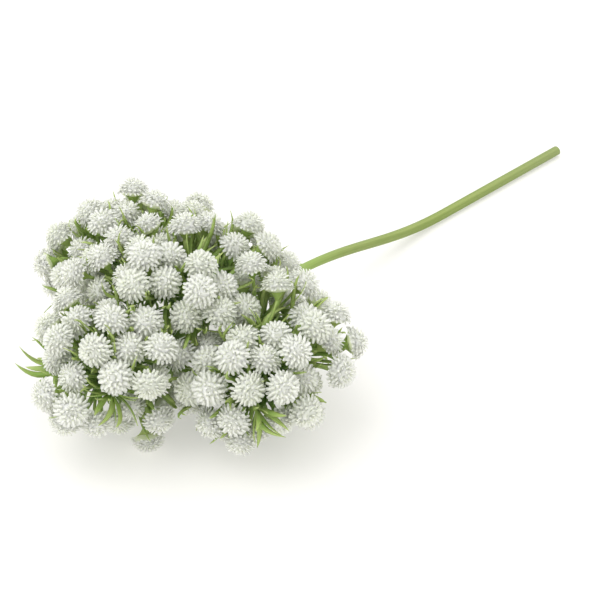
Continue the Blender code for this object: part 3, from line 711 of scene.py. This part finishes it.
# Rings of the collar, up to its end: how far from the junction, and radius
COLLAR_RINGS = np.array([
    (COLLAR_LENGTH + 0.0009, 0.0019),
    (COLLAR_LENGTH, 0.0024),
    (COLLAR_LENGTH * 0.6, COLLAR_RADIUS),
    (0.0003, COLLAR_RADIUS * 0.97),
    (0, COLLAR_RADIUS * 0.85),
])

# How far inside a lobe the depth in the cloud is full, as a share of the lobe's half size
FULL_DEPTH = 0.7
# What is painted on points: how far along a piece they are and how far across it, which on a head is the
# head's own shade, how light they are, and whether they are on a leaf
PAINTS = ("along", "across", "tone", "leaf")


class Shape:
    """Closed surfaces gathered into one mesh, with numbers painted on their points.

    Each surface is a row of rings. The points of a ring join those of the next by quads, and one flat
    face closes the first ring and one the last.
    """

    def __init__(self):
        self.points = []
        self.faces = []
        self.paint = {name: [] for name in PAINTS}
        self.count = 0

    def add(self, rings, **paint):
        """Add surfaces given as an array of (surface, ring, point, xyz), and paint of a like shape."""
        surfaces, rows, around = rings.shape[:3]
        base = self.count + np.arange(surfaces)[:, None, None] * rows * around
        row = np.arange(rows - 1)[None, :, None] * around
        here = np.arange(around)[None, None, :]
        after = (here + 1) % around
        low = base + row
        quads = np.stack([low + here, low + after, low + around + after, low + around + here], axis=-1)
        first = base[:, 0] + np.arange(around)[::-1]
        last = base[:, 0] + (rows - 1) * around + np.arange(around)
        self.faces += [quads.reshape(-1, 4), first, last]
        self.points.append(rings.reshape(-1, 3))
        for name in PAINTS:
            value = np.broadcast_to(paint.get(name, 0.0), rings.shape[:3])
            self.paint[name].append(value.reshape(-1))
        self.count += surfaces * rows * around

    def make(self, name, finish):
        """The mesh object of everything that was added, with how deep each point lies in the cloud."""
        points = pressed(np.concatenate(self.points))
        corners = np.concatenate([face.ravel() for face in self.faces])
        sides = np.concatenate([np.full(len(face), face.shape[1]) for face in self.faces])
        mesh = bpy.data.meshes.new(name)
        mesh.vertices.add(len(points))
        mesh.vertices.foreach_set("co", points.astype(np.float32).ravel())
        mesh.loops.add(len(corners))
        mesh.loops.foreach_set("vertex_index", corners.astype(np.int32))
        mesh.polygons.add(len(sides))
        mesh.polygons.foreach_set("loop_start", (np.cumsum(sides) - sides).astype(np.int32))
        mesh.update(calc_edges=True)
        mesh.shade_smooth()
        values = {key: np.concatenate(value) for key, value in self.paint.items()}
        values["depth"] = cloud_depth(points)
        for key, value in values.items():
            painted = mesh.attributes.new(key, "FLOAT", "POINT")
            painted.data.foreach_set("value", value.astype(np.float32))
        mesh.materials.append(finish)
        piece = bpy.data.objects.new(name, mesh)
        bpy.context.scene.collection.objects.link(piece)
        return piece


def cloud_depth(points):
    """How deep points lie in the cloud: 0 outside every lobe, rising evenly to 1 well inside one."""
    deepest = np.min([
        np.linalg.norm((points - centre) @ axes.T / semi, axis=1) for centre, axes, semi in LOBE_FRAMES
    ], axis=0)
    return np.clip((1.0 - deepest) / FULL_DEPTH, 0.0, 1.0)


def pressed(points):
    """Points with all that lies low squeezed up off the floor.

    Below a height, z becomes the floor plus the room there times an exponential, which meets z smoothly.
    """
    room = PRESS_HEIGHT - PRESS_FLOOR
    low = PRESS_FLOOR + room * np.exp((np.minimum(points[:, 2], PRESS_HEIGHT) - PRESS_HEIGHT) / room)
    return np.column_stack([points[:, :2], np.where(points[:, 2] < PRESS_HEIGHT, low, points[:, 2])])


def upright(aims):
    """For each unit vector, two more that stand square to it and to each other: cross products with Z."""
    guide = np.where(np.abs(aims[..., 2:3]) < STEEP, [0.0, 0.0, 1.0], [1.0, 0.0, 0.0])
    side = unit(np.cross(guide, aims))
    return side, np.cross(aims, side)


def tube(path, radii, sides):
    """Rings round a path: at each point a circle of its radius, square to the path's direction."""
    along = unit(np.gradient(path, axis=0))
    guide = np.eye(3)[np.argmin(np.abs(along.mean(axis=0)))]
    side = unit(guide - along * (along @ guide)[:, None])
    up = np.cross(along, side)
    angle = np.linspace(0, 2 * math.pi, sides, endpoint=False)[:, None]
    circle = np.cos(angle) * side[:, None] + np.sin(angle) * up[:, None]
    return path[:, None] + circle * np.asarray(radii)[:, None, None]


def taper(stops, count):
    """Radii at even shares of a length, in straight lines between stops of a share and a radius."""
    shares, radii = zip(*stops)
    return np.interp(np.linspace(0, 1, count), shares, radii)


def turned(profile, sides, centre, aim, waves=0, wave=0.0):
    """Rings of a turned form: each point of a profile, radius and height, carried round an axis.

    The radius is multiplied by 1 plus the point's wave times the cosine of the turns times waves.
    """
    side, up = upright(aim)
    angle = np.linspace(0, 2 * math.pi, sides, endpoint=False)
    radius = profile[:, :1] * (1 + np.reshape(wave, (-1, 1)) * np.cos(waves * angle))
    flat = np.cos(angle)[:, None] * side + np.sin(angle)[:, None] * up
    return centre + radius[..., None] * flat + profile[:, 1:, None] * aim


def blade(path, side, half_width, fold, thickness):
    """Rings of blades: an outline carried along each path, folded up at its edges, thick at its middle.

    A point's lift is the fold times its way sideways, plus half the thickness times 1 less the square
    of its share of the half width.
    """
    along = unit(np.gradient(path, axis=-2))
    side = unit(side - along * (side * along).sum(-1, keepdims=True))
    face = np.cross(along, side)
    across, over = np.array(BLADE_OUTLINE, float).T
    sideways = half_width[..., None] * across
    lift = fold * np.abs(sideways) + over * thickness / 2 * (1 - across * across)
    flat = side[..., None, :] * sideways[..., None]
    return path[..., None, :] + flat + face[..., None, :] * lift[..., None]


def add_petals(shape, draws, centre, aim, spin, size, shade):
    """All petals of one head, as blades that run out of its body and bend away from its aim.

    Along a petal t runs from 0 to 1: the distance from the head's middle grows evenly with t, and the
    angle from the aim is the petal's own less a lean that fades with the square of 1 - t.
    """
    side, up = upright(aim)
    axes = np.array([side, up, aim])
    counts, angles, reaches = zip(*PETAL_RINGS)
    total = sum(counts)
    around = np.concatenate([
        spin * (ring + 1) + 2 * math.pi * np.arange(count) / count for ring, count in enumerate(counts)
    ])
    around = (around + draws.normal(0, TURN_STRAY, total))[:, None]
    polar = (np.repeat(angles, counts) + draws.normal(0, ANGLE_STRAY, total))[:, None]
    reach = (np.repeat(reaches, counts) * draws.uniform(*REACH_RANGE, total))[:, None]
    t = PETAL_STEPS[None]
    radius = HEAD_RADIUS * size * (PETAL_ROOT + (reach - PETAL_ROOT) * t)
    lean = PETAL_LEAN * (polar / LEANING_ANGLE) + draws.normal(0, LEAN_STRAY, total)[:, None]
    angle = np.radians(polar - lean * (1 - t) ** 2)
    flat = np.sin(angle) * radius
    local = np.stack([flat * np.cos(around), flat * np.sin(around), np.cos(angle) * radius], axis=-1)
    across = np.stack([-np.sin(around), np.cos(around), np.zeros_like(around)], axis=-1)
    half = PETAL_HALF_WIDTH * PETAL_WIDTHS * draws.uniform(*WIDTH_RANGE, total)[:, None]
    rings = blade(local @ axes + centre, across @ axes, half, PETAL_FOLD, PETAL_THICKNESS)
    tone = draws.uniform(0, 1, total)[:, None, None]
    shape.add(rings, along=t[..., None], tone=tone, across=shade)


def add_body(shape, centre, aim, size, shade):
    """A head's body: a turned bowl closed by a dome, from which the petals stand out."""
    rings = turned(BODY_PROFILE * size, BODY_SIDES, centre, aim)
    shape.add(rings[None], along=BODY_PAINT[None, :, None], tone=shade, across=shade)


def build_heads(plan, finish):
    """One piece for each bunch of flower heads."""
    draws = np.random.default_rng(SEED + 1)
    for bunch in range(BUNCH_COUNT):
        shape = Shape()
        for m in np.nonzero(plan.bunch == bunch)[0]:
            shade = draws.uniform(0, 1)
            add_body(shape, plan.heads[m], plan.aims[m], plan.sizes[m], shade)
            add_petals(shape, draws, plan.heads[m], plan.aims[m], plan.spins[m], plan.sizes[m], shade)
        piece = shape.make(f"petals_{bunch + 1:02d}", finish)
        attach(piece, "root")
        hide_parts(f"flower_heads_{bunch + 1:02d}")


def add_calyx(shape, neck, aim, tone):
    """The small green cup under a head: a turned form whose rim rises in five sepals."""
    rings = turned(CALYX_PROFILE, 2 * SEPALS, neck, aim, SEPALS, CALYX_WAVE)
    shape.add(rings[None], along=0.5, tone=tone)


def add_leaf(shape, draws, places, half_width):
    """A lance-shaped leaf, folded along its middle, on the quadratic curve through three places.

    Its half width goes with a power of the sine of pi times a power of t, which puts its widest place
    before its middle, and a little width is kept from foot to tip.
    """
    root, middle, tip = places
    t = np.linspace(0, 1, LEAF_SECTIONS)[:, None]
    control = 2 * middle - (root + tip) / 2
    path = (1 - t) ** 2 * root + 2 * t * (1 - t) * control + t * t * tip
    t = t[:, 0]
    lance = np.sin(math.pi * t ** LANCE_LEAN) ** LANCE_FULLNESS
    half = half_width * np.maximum(lance, LEAF_FOOT * (1 - t) + LEAF_POINT)
    side, up = upright(unit(tip - root))
    turn = draws.uniform(-LEAF_TURN, LEAF_TURN)
    side = side * math.cos(turn) + up * math.sin(turn)
    rings = blade(path[None], side, half[None], LEAF_FOLD, LEAF_THICKNESS)
    across = np.abs(np.array(BLADE_OUTLINE, float)[:, 0])
    shape.add(rings, along=t[None, :, None], across=across, tone=draws.uniform(0, 1), leaf=1.0)


def add_bracts(shape, draws, path, share, length):
    """Two small leaves that stand opposite each other on a branch, a share of the way along it."""
    at = int(share * (len(path) - 1))
    along = unit(path[at + 1] - path[at])
    side, up = upright(along)
    turn = draws.uniform(0, math.pi)
    for half_turn in (0, math.pi):
        out = side * math.cos(turn + half_turn) + up * math.sin(turn + half_turn)
        reach = length * draws.uniform(*BRACT_RANGE)
        middle, tip = (path[at] + (out * far + along * on) * reach for far, on in (BRACT_MIDDLE, BRACT_TIP))
        if min(middle[2], tip[2]) > LEAF_TO_GROUND:
            add_leaf(shape, draws, (path[at], middle, tip), BRACT_HALF_WIDTH)


def gaps_between(plan):
    """The middle of each three neighbouring heads where a leaf has room, roomiest first, and its way out."""
    heads = plan.heads
    near = np.linalg.norm(heads[:, None] - heads[None], axis=2) < GAP_SPAN
    near = np.triu(near, 1)
    threes = np.argwhere(near[:, :, None] & near[:, None, :] & near[None])
    middles = heads[threes].mean(axis=1)
    room = np.linalg.norm(middles[:, None] - heads[None], axis=2).min(axis=1)
    places, ways = [], []
    for one in np.argsort(-room):
        if room[one] < GAP_ROOM:
            break
        if not places or np.linalg.norm(np.array(places) - middles[one], axis=1).min() > GAP_SPACING:
            places.append(middles[one])
            ways.append(unit(plan.outward[threes[one]].sum(axis=0)))
    return np.array(places), np.array(ways)


def gap_leaves(plan, draws):
    """Leaves that rise from nodes through gaps between heads: each one's fork, and its three places."""
    forks = [fork for fork, _, _, _ in plan.limbs]
    nodes = np.array([node for _, node, _, _ in plan.limbs])
    leaves = []
    for place, way in zip(*gaps_between(plan)):
        reach = np.linalg.norm(nodes - (place - way * BUNCH_DEPTH * GAP_DEPTH), axis=1)
        found = 0
        for at in np.argsort(reach)[:GAP_NODES]:
            tip = place + unit(way + draws.normal(0, GAP_STRAY, 3)) * draws.uniform(*GAP_RISE)
            bend = place - way * GAP_BEND
            steps = nodes[at] + (bend - nodes[at]) * np.linspace(0.2, 1, 9)[:, None]
            steps = np.append(steps, tip[None], axis=0)
            clear = nearest(plan.heads, steps[:-1], steps[1:])
            inside = np.all(tip > CAD_BOX[0]) and np.all(tip < CAD_BOX[1])
            inside = inside and steps[:, 2].min() > LEAF_TO_GROUND
            if clear > GAP_ROOM and inside and found < GAP_LEAVES:
                leaves.append((forks[at], (nodes[at], steps[-2], tip)))
                found += 1
    return leaves


def spread_leaves(plan, draws, node):
    """Leaves that spread from a node to all sides below the heads: each one's root, middle and tip."""
    way = unit(plan.outward[np.argmin(np.linalg.norm(plan.heads - node, axis=1))])
    side, up = upright(way)
    leaves = []
    for _ in range(SPREAD_LEAVES):
        for _ in range(SPREAD_TRIES):
            turn = draws.uniform(0, 2 * math.pi)
            flat = side * math.cos(turn) + up * math.sin(turn)
            aim = unit(flat + way * draws.uniform(*SPREAD_LEAN))
            length = draws.uniform(*SPREAD_LENGTH)
            places = node + np.outer([0.0, 0.5, 1.0], aim) * length
            places[1] += way * length * SPREAD_ARCH
            starts = places[:-1] * (1 - SPREAD_NEARER) + places[1:] * SPREAD_NEARER
            clear = nearest(plan.heads, starts, places[1:])
            if clear > SPREAD_ROOM and places[:, 2].min() > LEAF_TO_GROUND:
                leaves.append(places)
                break
    return leaves


def add_pedicel(shape, draws, plan, node, root, m):
    """The thin stalk of head m, from its node to its calyx: a curve that leaves along its root."""
    neck, aim = plan.necks[m], plan.aims[m]
    reach = np.linalg.norm(neck - node)
    leaving = node + unit(root - node) * reach * PEDICEL_LEAVING
    arriving = neck - aim * reach * PEDICEL_ARRIVING
    path = bezier((node, leaving, arriving, neck), np.linspace(0, 1, PEDICEL_POINTS))
    tone = draws.uniform(0, 1)
    shape.add(tube(path, taper(PEDICEL_TAPER, PEDICEL_POINTS), PEDICEL_SIDES)[None], tone=tone)
    add_calyx(shape, neck, aim, tone)


def add_fork(shape, draws, fork):
    """A fork's line, from inside the collar into its lobe, and the pairs of small leaves along it."""
    line = AXES[fork][::2]
    tucked = line[0] + np.array([[FORK_LEAD + FORK_TUCK, 0, 0], [FORK_LEAD * 0.5, 0, 0]])
    line = np.concatenate([tucked, line])
    shape.add(tube(line, taper(FORK_TAPER, len(line)), FORK_SIDES)[None], tone=FORK_TONE)
    for share in FORK_PLACES:
        add_bracts(shape, draws, line, share, FORK_LEAF)


def add_branchlet(shape, draws, fork, node, up):
    """A branchlet, the pairs of small leaves along it, and the ball at its end where stalks meet.

    The ball's radius and height go with the sine and cosine of an angle, short of both its poles.
    """
    path = branchlet(fork, node, up, BRANCHLET_POINTS)
    radii = taper(BRANCHLET_TAPER, BRANCHLET_POINTS)
    shape.add(tube(path, radii, BRANCHLET_SIDES)[None], tone=draws.uniform(0, 1))
    for share in BRACT_PLACES:
        add_bracts(shape, draws, path, share, BRACT_LENGTH)
    angle = np.linspace(BALL_OPENING, math.pi - BALL_OPENING, BALL_RINGS)
    profile = np.column_stack([np.sin(angle) * BALL_RADIUS, -np.cos(angle) * BALL_HALF_LENGTH])
    ball = turned(profile, BALL_SIDES, node, unit(node - path[-3]))
    shape.add(ball[None], tone=draws.uniform(0, 1))


def add_limbs(shape, draws, plan, node, limbs):
    """What grows from a node: the heads' stalks, the leaves that have solids, and leaves that spread."""
    for kind, places in limbs:
        if kind == "stalk":
            m = int(np.argmin(np.linalg.norm(plan.necks - places[1], axis=1)))
            add_pedicel(shape, draws, plan, node, places[0], m)
        else:
            start = node + (places[0] - node) * LEAF_START
            add_leaf(shape, draws, (start, places[1], places[2]), LEAF_HALF_WIDTH)
    for places in spread_leaves(plan, draws, node):
        add_leaf(shape, draws, places, LEAF_HALF_WIDTH * draws.uniform(*SPREAD_WIDTHS))


def build_branches(plan, finish):
    """One piece for each fork: its line, branchlets, nodes, stalks, calyces and leaves."""
    draws = np.random.default_rng(SEED + 2)
    risen = gap_leaves(plan, draws)
    for fork in range(len(LOBES)):
        shape = Shape()
        add_fork(shape, draws, fork)
        for at, node, up, limbs in plan.limbs:
            if at == fork:
                add_branchlet(shape, draws, fork, node, up)
                add_limbs(shape, draws, plan, node, limbs)
        for at, places in risen:
            if at == fork:
                add_leaf(shape, draws, places, LEAF_HALF_WIDTH * draws.uniform(*GAP_WIDTHS))
        piece = shape.make(f"branches_{fork + 1}", finish)
        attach(piece, "root")
        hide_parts(f"fork_{fork + 1}")


def build_stalk(finish):
    """The thick stalk: straight where it lies, then on one cubic curve that rises to the forks' collar.

    Its streaks are tones that start at random round it and drift from ring to ring.
    """
    lowered = STALK_RADIUS - JUNCTION[2] + STALK_LIFT
    bend = JUNCTION + bezier(np.array([
        (STALK_LYING_REACH, STALK_BOW, lowered),
        (STALK_LYING_REACH - STALK_BEND, STALK_BOW * 1.5, lowered),
        (STALK_RISE_REACH, STALK_BOW * 0.4, -STALK_DIP),
        (COLLAR_LENGTH + COLLAR_LEAD, 0.0, 0.0),
    ]), np.linspace(0, 1, BEND_POINTS))
    cut = JUNCTION + (STALK_REACH, 0, lowered)
    lying = cut + (bend[0] - cut) * np.linspace(LYING_START, 1, LYING_POINTS)[:, None]
    back, shares = CUT_RINGS.T
    onward, collar_radii = COLLAR_RINGS.T
    face = cut - np.outer(back, (1, 0, 0))
    collar = JUNCTION + np.outer(onward, (1, 0, 0))
    path = np.concatenate([face, lying, bend[1:], collar])
    radii = np.concatenate([
        STALK_RADIUS * shares,
        np.full(LYING_POINTS, STALK_RADIUS),
        np.linspace(STALK_RADIUS, STALK_TOP_RADIUS, BEND_POINTS - 1),
        collar_radii,
    ])
    draws = np.random.default_rng(SEED + 3)
    drift = draws.normal(0, STREAK_DRIFT, (len(path), STALK_SIDES)).cumsum(axis=0)
    streaks = np.clip(draws.uniform(0, 1, STALK_SIDES) + drift, 0, 1)
    along = np.linspace(0, 1, len(path))[None, :, None]
    shape = Shape()
    shape.add(tube(path, radii, STALK_SIDES)[None], along=along, tone=streaks)
    piece = shape.make("stalk", finish)
    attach(piece, "root")
    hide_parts("main_stem")


# Colours of the plastics and the floor, and of the painted shade deep in the cloud: two where a surface
# varies from a darker to a lighter one
PETAL_ROOTS = ((0.75, 0.84, 0.50), (0.83, 0.89, 0.62))
PETAL_WHITES = ((0.915, 0.935, 0.82), (0.945, 0.96, 0.87))
GREENISH_WHITE = (0.76, 0.82, 0.58)
# Painted shade: the darker greenish white that heads take on deep in the cloud
CLOUD_SHADE_WHITE = (0.64, 0.75, 0.40)
LIMES = ((0.30, 0.44, 0.10), (0.42, 0.52, 0.17))
PALE_LIME = (0.50, 0.58, 0.22)
VEIN_GREEN = (0.20, 0.34, 0.07)
# Painted shade: the dark green that stems and leaves take on deep in the cloud
CLOUD_SHADE_GREEN = (0.07, 0.20, 0.04)
PATCH_GREEN = (0.22, 0.36, 0.07)
OLIVES = ((0.19, 0.26, 0.05), (0.31, 0.38, 0.11))
GREY_OLIVE = (0.28, 0.32, 0.16)
CUT_OLIVE = (0.16, 0.19, 0.10)
FLOOR_WHITES = ((0.58, 0.57, 0.55), (0.60, 0.59, 0.57))
FLOOR_GLOW = (1.0, 0.99, 0.97, 1.0)


class Value:
    """A shader socket that takes part in sums: each operator adds one Math node."""

    def __init__(self, paint, socket):
        self.paint = paint
        self.socket = socket

    def math(self, operation, first, second):
        """The result of a new Math node on two values or numbers."""
        return self.paint.node("ShaderNodeMath", {"operation": operation}, {0: first, 1: second})

    def __add__(self, other):
        return self.math("ADD", self, other)

    def __radd__(self, other):
        return self.math("ADD", other, self)

    def __sub__(self, other):
        return self.math("SUBTRACT", self, other)

    def __rsub__(self, other):
        return self.math("SUBTRACT", other, self)

    def __mul__(self, other):
        return self.math("MULTIPLY", self, other)

    def __rmul__(self, other):
        return self.math("MULTIPLY", other, self)


class Paint:
    """A procedural finish: one Principled shader, whose looks are worked out from values and patterns."""

    def __init__(self, name, **constants):
        self.material = bpy.data.materials.new(name)
        self.material.use_nodes = True
        self.tree = self.material.node_tree
        self.shader = self.tree.nodes["Principled BSDF"]
        for key, value in constants.items():
            self.shader.inputs[key.replace("_", " ")].default_value = value
        self.object = self.node("ShaderNodeTexCoord", {}, {}, "Object")

    def node(self, kind, settings, inputs, output=0):
        """Add a node: its settings first, then the values or links of its sockets."""
        new = self.tree.nodes.new(kind)
        for key, value in settings.items():
            setattr(new, key, value)
        for key, value in inputs.items():
            if isinstance(value, Value):
                self.tree.links.new(value.socket, new.inputs[key])
            else:
                new.inputs[key].default_value = value
        return Value(self, new.outputs[output])

    def painted(self, name):
        """The number painted on the points under this name."""
        return self.node("ShaderNodeAttribute", {"attribute_name": name}, {}, "Fac")

    def ramp(self, value, low, high):
        """A value stretched from its range low to high onto 0 to 1, smoothly."""
        settings = {"interpolation_type": "SMOOTHSTEP"}
        return self.node("ShaderNodeMapRange", settings, {"Value": value, "From Min": low, "From Max": high})

    def mix(self, share, first, second):
        """A colour between two: a Mix node's sockets 6 and 7 are its colours, and output 2 the result."""
        first = first if isinstance(first, Value) else (*first, 1.0)
        second = second if isinstance(second, Value) else (*second, 1.0)
        inputs = {"Factor": share, 6: first, 7: second}
        return self.node("ShaderNodeMix", {"data_type": "RGBA"}, inputs, 2)

    def noise(self, scale, detail=2.0, stretch=(1, 1, 1)):
        """Cloudy noise on object coordinates."""
        place = self.node("ShaderNodeMapping", {}, {"Vector": self.object, "Scale": stretch})
        inputs = {"Vector": place, "Scale": scale, "Detail": detail}
        return self.node("ShaderNodeTexNoise", {}, inputs, "Fac")

    def set(self, key, value):
        """Link a value to a socket of the shader."""
        self.tree.links.new(value.socket, self.shader.inputs[key])

    def bump(self, height, strength, distance):
        """Give the surface relief."""
        inputs = {"Height": height, "Strength": strength, "Distance": distance}
        self.set("Normal", self.node("ShaderNodeBump", {}, inputs))


def petal_finish():
    """Soft white plastic that lets light through.

    It is greener at each petal's root and on some of the heads; deep in the cloud it takes on painted shade,
    a darker greenish white.
    """
    paint = Paint("petals_white", Subsurface_Weight=0.75, Subsurface_Radius=(1.0, 1.0, 0.9),
                  Subsurface_Scale=0.0016, IOR=1.42)
    along, tone, depth, head = (paint.painted(name) for name in ("along", "tone", "depth", "across"))
    root = paint.mix(tone, *PETAL_ROOTS)
    white = paint.mix(tone, *PETAL_WHITES)
    colour = paint.mix(paint.ramp(along, 0.05, 0.65), root, white)
    colour = paint.mix(paint.ramp(head, 0.45, 1.0) * 0.35, colour, GREENISH_WHITE)
    # Painted shade: the deeper a point lies in the cloud, the more its colour goes to a darker greenish white
    colour = paint.mix(paint.ramp(depth, 0.2, 0.9) * 0.5, colour, CLOUD_SHADE_WHITE)
    paint.set("Base Color", colour)
    grain = paint.noise(1400.0)
    paint.set("Roughness", 0.42 + grain * 0.2)
    paint.bump(grain, 0.2, 0.00008)
    return paint.material


def green_finish():
    """Satin lime-green plastic: paler leaf tips, darker leaf veins, and painted shade, a deeper green, inside
    the cloud.
    """
    paint = Paint("stems_lime", Subsurface_Weight=0.12, Subsurface_Radius=(0.6, 1.0, 0.2),
                  Subsurface_Scale=0.0008, IOR=1.45)
    along, across, tone, depth, leaf = (
        paint.painted(name) for name in ("along", "across", "tone", "depth", "leaf")
    )
    lime = paint.mix(tone, *LIMES)
    tip = paint.mix(leaf * paint.ramp(along, 0.3, 1.0) * 0.6, lime, PALE_LIME)
    vein = paint.mix(leaf * (1 - paint.ramp(across, 0.0, 0.35)) * 0.35, tip, VEIN_GREEN)
    # Painted shade: the deeper a point lies in the cloud, the more its colour goes to a dark green
    colour = paint.mix(paint.ramp(depth, 0.15, 0.9) * 0.65, vein, CLOUD_SHADE_GREEN)
    patches = paint.noise(220.0)
    paint.set("Base Color", paint.mix(paint.ramp(patches, 0.45, 0.75) * 0.3, colour, PATCH_GREEN))
    grain = paint.noise(1800.0)
    paint.set("Roughness", 0.40 + grain * 0.2)
    paint.bump(grain, 0.25, 0.00006)
    return paint.material


def stalk_finish():
    """Olive plastic with faint lengthwise streaks: greyer near the cut end, dark on it, lime at the top."""
    paint = Paint("stalk_olive", Subsurface_Weight=0.05, Subsurface_Radius=(0.6, 1.0, 0.2),
                  Subsurface_Scale=0.0008, IOR=1.45)
    along, tone = paint.painted("along"), paint.painted("tone")
    streaks = tone * 0.7 + paint.noise(500.0, 3.0, (0.06, 1, 1)) * 0.3
    colour = paint.mix(paint.ramp(streaks, 0.1, 0.8), *OLIVES)
    colour = paint.mix((1 - paint.ramp(along, 0.0, 0.35)) * 0.35, colour, GREY_OLIVE)
    colour = paint.mix(paint.ramp(along, 0.75, 1.0) * 0.8, colour, LIMES[0])
    paint.set("Base Color", paint.mix(1 - paint.ramp(along, 0.0, 0.004), colour, CUT_OLIVE))
    grain = paint.noise(1500.0)
    paint.set("Roughness", 0.45 + grain * 0.2)
    paint.bump(streaks + grain * 0.4, 0.3, 0.0001)
    return paint.material


# The floor and the camera in metres and degrees, its lens in millimetres, and the light
FLOOR_SIZE = 12.0
CAMERA_AZIMUTH = -45.0
CAMERA_ELEVATION = 38.0
CAMERA_LENS = 100.0
CAMERA_DISTANCE = 0.515
CAMERA_TARGET = (-0.013, -0.001, 0.0045)
SUN_FROM = (-0.35, 0.25, 1.0)
SUN_ANGLE = 50.0
SUN_STRENGTH = 1.05
WORLD_STRENGTH = 1.08


def build_floor():
    """A plain pale surface, much larger than the view."""
    half = FLOOR_SIZE / 2
    mesh = bpy.data.meshes.new("floor")
    corners = [(-half, -half, 0), (half, -half, 0), (half, half, 0), (-half, half, 0)]
    mesh.from_pydata(corners, [], [(0, 1, 2, 3)])
    paint = Paint("floor_white", Roughness=0.7, Emission_Color=FLOOR_GLOW, Emission_Strength=0.38)
    paint.set("Base Color", paint.mix(paint.noise(30.0), *FLOOR_WHITES))
    mesh.materials.append(paint.material)
    floor = bpy.data.objects.new("floor", mesh)
    bpy.context.scene.collection.objects.link(floor)


def build_light():
    """Soft studio light: a wide sun from above and a little to the camera's left, and an even world."""
    world = bpy.data.worlds.new("studio")
    world.use_nodes = True
    sky = world.node_tree.nodes["Background"]
    sky.inputs["Color"].default_value = (1.0, 1.0, 1.0, 1.0)
    sky.inputs["Strength"].default_value = WORLD_STRENGTH
    bpy.context.scene.world = world
    lamp = bpy.data.lights.new("sun", "SUN")
    lamp.energy = SUN_STRENGTH
    lamp.angle = math.radians(SUN_ANGLE)
    sun = bpy.data.objects.new("sun", lamp)
    sun.rotation_euler = Vector(SUN_FROM).to_track_quat("Z", "Y").to_euler()
    bpy.context.scene.collection.objects.link(sun)


def build_camera():
    """A long lens at the photograph's angle, from which the stalk runs away to the upper right."""
    turn, rise = math.radians(CAMERA_AZIMUTH), math.radians(CAMERA_ELEVATION)
    back = Vector((math.sin(turn) * math.cos(rise), -math.cos(turn) * math.cos(rise), math.sin(rise)))
    data = bpy.data.cameras.new("camera")
    data.lens = CAMERA_LENS
    camera = bpy.data.objects.new("camera", data)
    camera.location = Vector(CAMERA_TARGET) + back * CAMERA_DISTANCE
    camera.rotation_euler = back.to_track_quat("Z", "Y").to_euler()
    bpy.context.scene.collection.objects.link(camera)
    bpy.context.scene.camera = camera


def main():
    """Build the pieces round the frame, then the floor, the light and the camera."""
    bpy.context.scene.view_settings.view_transform = "Standard"
    plan = Plan()
    build_heads(plan, petal_finish())
    build_branches(plan, green_finish())
    build_stalk(stalk_finish())
    build_floor()
    build_light()
    build_camera()


main()
